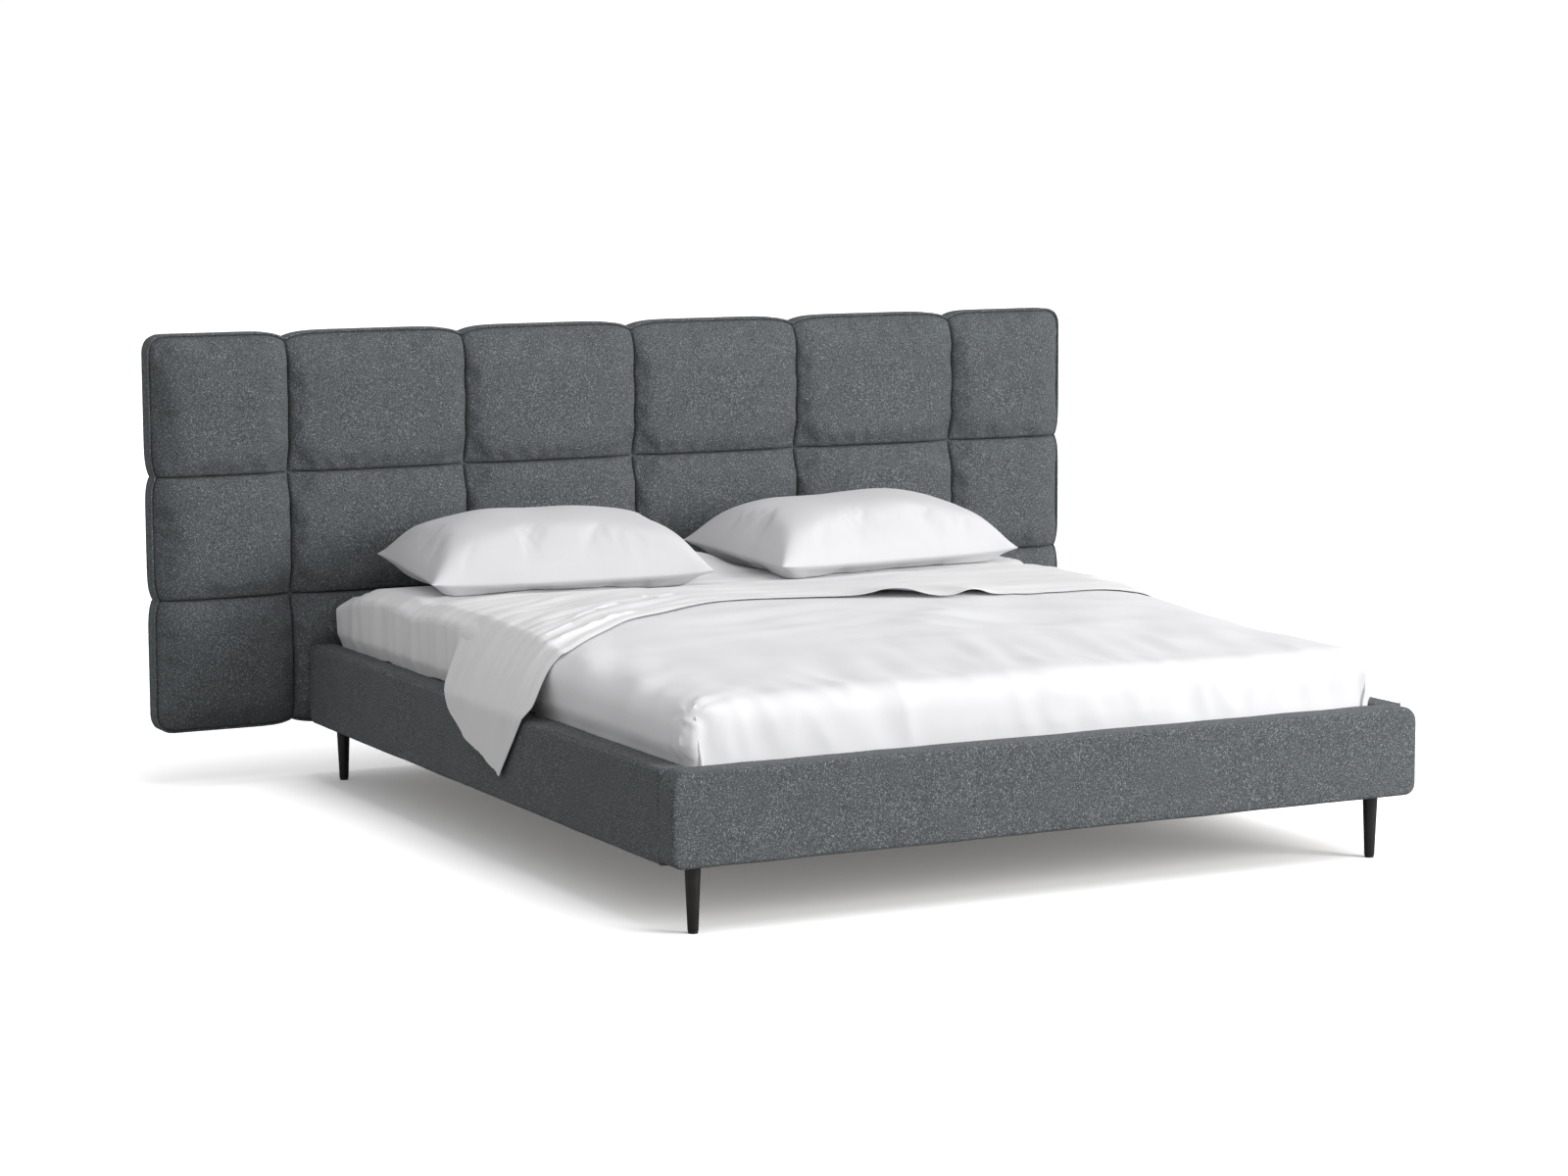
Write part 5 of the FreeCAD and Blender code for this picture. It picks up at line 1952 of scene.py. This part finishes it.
    @staticmethod
    def swing(y: float, run: float) -> float:
        """How far the hanging part moves along the bed as it falls to its pointed corner.

        Args:
            y: Place along the bed where it leaves the edge.
            run: Distance past the edge.

        Returns:
            The movement, towards the foot below zero.
        """
        if y > TUCKED_FROM:
            return 0.0
        near = min(1.05, math.exp(-(y + 0.345) / 0.15))
        first = ease(min(1.0, run / SLOPE_LENGTH))
        second = min(1.0, max(0.0, (run - SLOPE_LENGTH) / 0.168))
        return near * (-0.055 * first + 0.165 * second)

    @staticmethod
    def bridge(x: float, y: float) -> float:
        """The height of the sheet where it spans from the duvet down to the mattress, with
        the bedding heaped between the pillows."""
        places = [0.40, 0.50, 0.62, 0.74, 0.84, 0.94]
        heap = min(1.0, max(0.0, (y - 0.56) / 0.16)) * math.exp(-(((x - 0.02) / 0.095) ** 2))
        return float(np.interp(y, places, [0.44, 0.486, 0.488, 0.480, 0.462, 0.436])) + 0.05 * heap

    @staticmethod
    def soften(heights: np.ndarray) -> np.ndarray:
        """Evens the heights so that the sheet spans hollows, never going below them.

        Args:
            heights: Rows by columns of heights.

        Returns:
            The evened heights.
        """
        evened = heights.copy()
        for _ in range(10):
            padded = np.pad(evened, 1, mode="edge")
            mean = (padded[:-2, 1:-1] + padded[2:, 1:-1] + padded[1:-1, :-2] + padded[1:-1, 2:]) / 4
            evened = np.maximum(heights, mean)
        return evened

    def build(self, over: Sequence[bpy.types.Object]) -> bpy.types.Object:
        """Builds the sheet over the given pieces and returns it."""
        grid, place, c = self.layout(over)
        rows, columns = grid.shape[:2]
        sheet = mesh_piece("top_cotton_sheet", grid.reshape(-1, 3), grid_faces(rows, columns))
        points = coordinates(sheet)
        normals = directions(sheet)
        if normals[0, 2] < 0:
            normals = -normals
        lift = self.folds(place.ravel(), c.ravel(), points)
        from_hem = c.ravel() * 0.8
        seam = np.exp(-(((from_hem - self.hem_depth) / 0.0035) ** 2))
        band = np.clip((self.hem_depth - from_hem) / 0.004, 0, 1)
        gaps = np.exp(-(((place.ravel() - 0.175) / 0.07) ** 2))
        gaps += np.exp(-(((place.ravel() - 0.345) / 0.05) ** 2))
        close = np.clip(from_hem / 0.05, 0, 1)
        lift *= np.clip(0.15 + 0.85 * close + gaps, 0, 1)
        lift += 0.0012 * band - 0.0016 * seam
        set_coordinates(sheet, points + normals * np.maximum(lift, 0)[:, None])
        wall = sheet.modifiers.new("wall", "SOLIDIFY")
        wall.thickness = self.cloth
        wall.offset = 1.0 if sheet.data.polygons[0].normal.z > 0 else -1.0
        apply_all(sheet)
        outward(sheet)
        smooth(sheet, 60)
        dress(sheet, Body.TOP_SHEET, "top_sheet_cotton", ["top_sheet"])
        return sheet


# ------------------------------------------------------------------ pillows


@dataclass
class Pillow:
    """A down pillow: two rectangles of cotton sewn together and filled, so that its corners
    stay flat and pointed and its seam gathers."""

    word: str
    body: Body
    turn: float
    seed: float
    length: float = 0.745
    width: float = 0.50
    cell: float = 0.009
    tilt: float = 3.0
    seam_height: float = 0.032
    sag: float = 0.024

    def blank_pair(self) -> bpy.types.Object:
        """Makes the two sewn layers, lightly filled."""
        columns = round(self.length / self.cell) + 1
        rows = round(self.width / self.cell) + 1
        xs = np.linspace(-self.length / 2, self.length / 2, columns)
        ys = np.linspace(-self.width / 2, self.width / 2, rows)
        grid_x, grid_y = np.meshgrid(xs, ys)
        u = np.abs(grid_x) / (self.length / 2)
        v = np.abs(grid_y) / (self.width / 2)
        bow_x = 0.012 * (1 - v**4) * np.sign(grid_x) * u**6
        bow_y = 0.010 * (1 - u**4) * np.sign(grid_y) * v**6
        swell = np.clip(1 - u**3.2, 0, 1) ** 0.56 * np.clip(1 - v**3.0, 0, 1) ** 0.56
        lumps = 1 + 0.10 * ripple(
            np.stack([grid_x, grid_y, grid_x * 0], axis=-1).reshape(-1, 3), 0.16, self.seed
        ).reshape(grid_x.shape)
        x = grid_x - bow_x
        y = grid_y - bow_y
        top = np.stack([x, y, 0.094 * swell * lumps + 0.0008], axis=-1)
        low = np.stack([x, y, -0.034 * swell - 0.0008], axis=-1)
        return closed_pair(f"pillow_{self.word}_filled", top, low)

    def pose(self, pillow: bpy.types.Object) -> None:
        """Moves the points to where the pillow leans on the bed."""
        low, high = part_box(f"pillow_{self.word}")
        centre = (Vector(low) + Vector(high)) / 2
        centre.z = low.z + self.seam_height
        turn = Euler((math.radians(self.tilt), 0, math.radians(self.turn))).to_matrix()
        points = coordinates(pillow)
        u = np.clip(np.abs(points[:, 0]) / (self.length / 2), 0, 1)
        v = np.clip(np.abs(points[:, 1]) / (self.width / 2), 0, 1)
        points[:, 2] -= self.sag * ((1 - u**4) * v**4 + 0.6 * (1 - v**4) * u**4)
        points = points @ np.array(turn).T
        set_coordinates(pillow, points + np.array(centre))

    def settle(self, pillow: bpy.types.Object, height: Callable[[float, float], float]) -> None:
        """Flattens the underside where it rests on the bedding.

        Args:
            pillow: The pillow.
            height: The bedding's height under a place.
        """
        points = coordinates(pillow)
        for index, (x, y, z) in enumerate(points):
            limit = height(float(x), float(y)) + 0.002
            if z < limit:
                points[index, 2] = limit + 0.0006 * (limit - z)
        points[:, 1] = np.minimum(points[:, 1], 0.968)
        set_coordinates(pillow, points)

    def build(self, over: Sequence[bpy.types.Object]) -> bpy.types.Object:
        """Builds the pillow over the given pieces and returns it."""
        pillow = self.blank_pair()
        run = ClothRun(frames=20, pressure=5.0, growth=0.015, cap=0.026, bending=0.12)
        simulate(pillow, run)
        self.pose(pillow)
        self.settle(pillow, TopSheet().height_map(over))
        subdivide(pillow)
        smooth(pillow, 70)
        dress(pillow, self.body, "pillow_cotton", [f"pillow_{self.word}"])
        return pillow


# ------------------------------------------------------------------ studio


@dataclass(frozen=True)
class Studio:
    """A plain white floor under a soft key light from the right and a pale, even sky."""

    key_place: tuple[float, float, float] = (4.6, -5.9, 2.5)
    key_size: float = 3.5
    key_power: float = 505.0
    floor_from: tuple[float, float, float] = (0.25, -0.3, 1.0)
    floor_power: float = 1.9
    floor_spread: float = 50.0
    floor_glow: float = 0.12
    sky_dark: float = 0.60
    sky_pale: float = 0.94
    sky_toward: tuple[float, float, float] = (0.55, -0.74, 0.38)
    camera_place: tuple[float, float, float] = (-3.9407, -7.549, 1.5935)
    lens: float = 85.63
    yaw: float = 27.001
    pitch: float = 7.130
    roll: float = -0.227

    def build_floor(self) -> None:
        """Makes the floor, white to the camera and grey to the light that bounces off it."""
        bpy.ops.object.select_all(action="DESELECT")
        bpy.ops.mesh.primitive_plane_add(size=400, location=(0, 0, 0))
        floor = bpy.context.object
        floor.name = "floor"
        material, tree, shader = blank("white_floor")
        rays = add(tree, "ShaderNodeLightPath")
        tone = add(
            tree,
            "ShaderNodeMix",
            data_type="RGBA",
            values={"A": linear("#868686"), "B": (1.0, 1.0, 1.0, 1.0)},
            links={"Factor": rays.outputs["Is Camera Ray"]},
        )
        tree.links.new(tone.outputs["Result"], shader.inputs["Base Color"])
        shader.inputs["Roughness"].default_value = 0.95
        shader.inputs["Specular IOR Level"].default_value = 0.0
        shader.inputs["Emission Color"].default_value = (1.0, 1.0, 1.0, 1.0)
        glow = add(
            tree,
            "ShaderNodeMath",
            operation="MULTIPLY",
            values={1: self.floor_glow},
            links={0: rays.outputs["Is Camera Ray"]},
        )
        tree.links.new(glow.outputs["Value"], shader.inputs["Emission Strength"])
        floor.data.materials.append(material)
        only_floor = bpy.data.collections.new("lit_by_floor_light")
        only_floor.objects.link(floor)
        lamp = bpy.data.lights.new("floor_light", "SUN")
        lamp.angle = math.radians(self.floor_spread)
        lamp.energy = self.floor_power
        light = bpy.data.objects.new("floor_light", lamp)
        light.rotation_euler = Vector(self.floor_from).to_track_quat("Z", "Y").to_euler()
        bpy.context.collection.objects.link(light)
        light.light_linking.receiver_collection = only_floor

    def build_light(self) -> None:
        """Makes the key light and the sky."""
        lamp = bpy.data.lights.new("key_light", "AREA")
        lamp.shape = "DISK"
        lamp.size = self.key_size
        lamp.energy = self.key_power
        key = bpy.data.objects.new("key_light", lamp)
        key.location = self.key_place
        aim = Vector(self.key_place) - Vector((0, 0, 0.5))
        key.rotation_euler = aim.to_track_quat("Z", "Y").to_euler()
        bpy.context.collection.objects.link(key)
        world = bpy.data.worlds.new("studio_sky")
        world.use_nodes = True
        tree = world.node_tree
        tree.nodes.clear()
        rays = add(tree, "ShaderNodeLightPath")
        direction = add(tree, "ShaderNodeTexCoord").outputs["Generated"]
        facing = add(
            tree,
            "ShaderNodeVectorMath",
            operation="DOT_PRODUCT",
            links={0: direction},
            values={1: self.sky_toward},
        )
        slope = add(
            tree,
            "ShaderNodeMapRange",
            links={"Value": facing.outputs["Value"]},
            values={
                "From Min": -0.8,
                "From Max": 1.0,
                "To Min": self.sky_dark,
                "To Max": self.sky_pale,
            },
        )
        light = add(
            tree,
            "ShaderNodeMix",
            data_type="FLOAT",
            values={"B": 1.05},
            links={"Factor": rays.outputs["Is Camera Ray"], "A": slope.outputs["Result"]},
        )
        background = add(
            tree,
            "ShaderNodeBackground",
            values={"Color": linear("#ffffff")},
            links={"Strength": light.outputs["Result"]},
        )
        add(
            tree,
            "ShaderNodeOutputWorld",
            links={"Surface": background.outputs["Background"]},
        )
        bpy.context.scene.world = world
        bpy.context.scene.view_settings.view_transform = "Standard"

    def build_camera(self) -> None:
        """Makes the camera at its place, looking along its own direction."""
        yaw, pitch, roll = (math.radians(a) for a in (self.yaw, self.pitch, self.roll))
        ahead = Vector(
            (math.sin(yaw) * math.cos(pitch), math.cos(yaw) * math.cos(pitch), -math.sin(pitch))
        )
        right = Vector((math.cos(yaw), -math.sin(yaw), 0))
        up = right.cross(ahead)
        right, up = (
            right * math.cos(roll) + up * math.sin(roll),
            up * math.cos(roll) - right * math.sin(roll),
        )
        turn = Matrix((right, up, -ahead)).transposed().to_4x4()
        data = bpy.data.cameras.new("camera")
        data.lens = self.lens
        data.sensor_width = 36
        camera = bpy.data.objects.new("camera", data)
        camera.matrix_world = Matrix.Translation(self.camera_place) @ turn
        bpy.context.collection.objects.link(camera)
        bpy.context.scene.camera = camera

    def build(self) -> None:
        """Builds the whole studio."""
        self.build_floor()
        self.build_light()
        self.build_camera()


def main() -> None:
    """Builds the bed, piece by piece, and its studio."""
    logging.basicConfig(level=logging.INFO, format="%(name)s %(message)s")
    BedFrame().build()
    Headboard().build()
    Mattress().build()
    duvet = Duvet().build()
    fitted = bpy.data.objects["fitted_cotton_sheet"]
    sheet = TopSheet().build([duvet, fitted])
    Pillow("left", Body.PILLOW_LEFT, -5.0, 1.7).build([sheet, duvet, fitted])
    Pillow("right", Body.PILLOW_RIGHT, 6.0, 5.2).build([sheet, duvet, fitted])
    Studio().build()


if __name__ == "__main__":
    main()
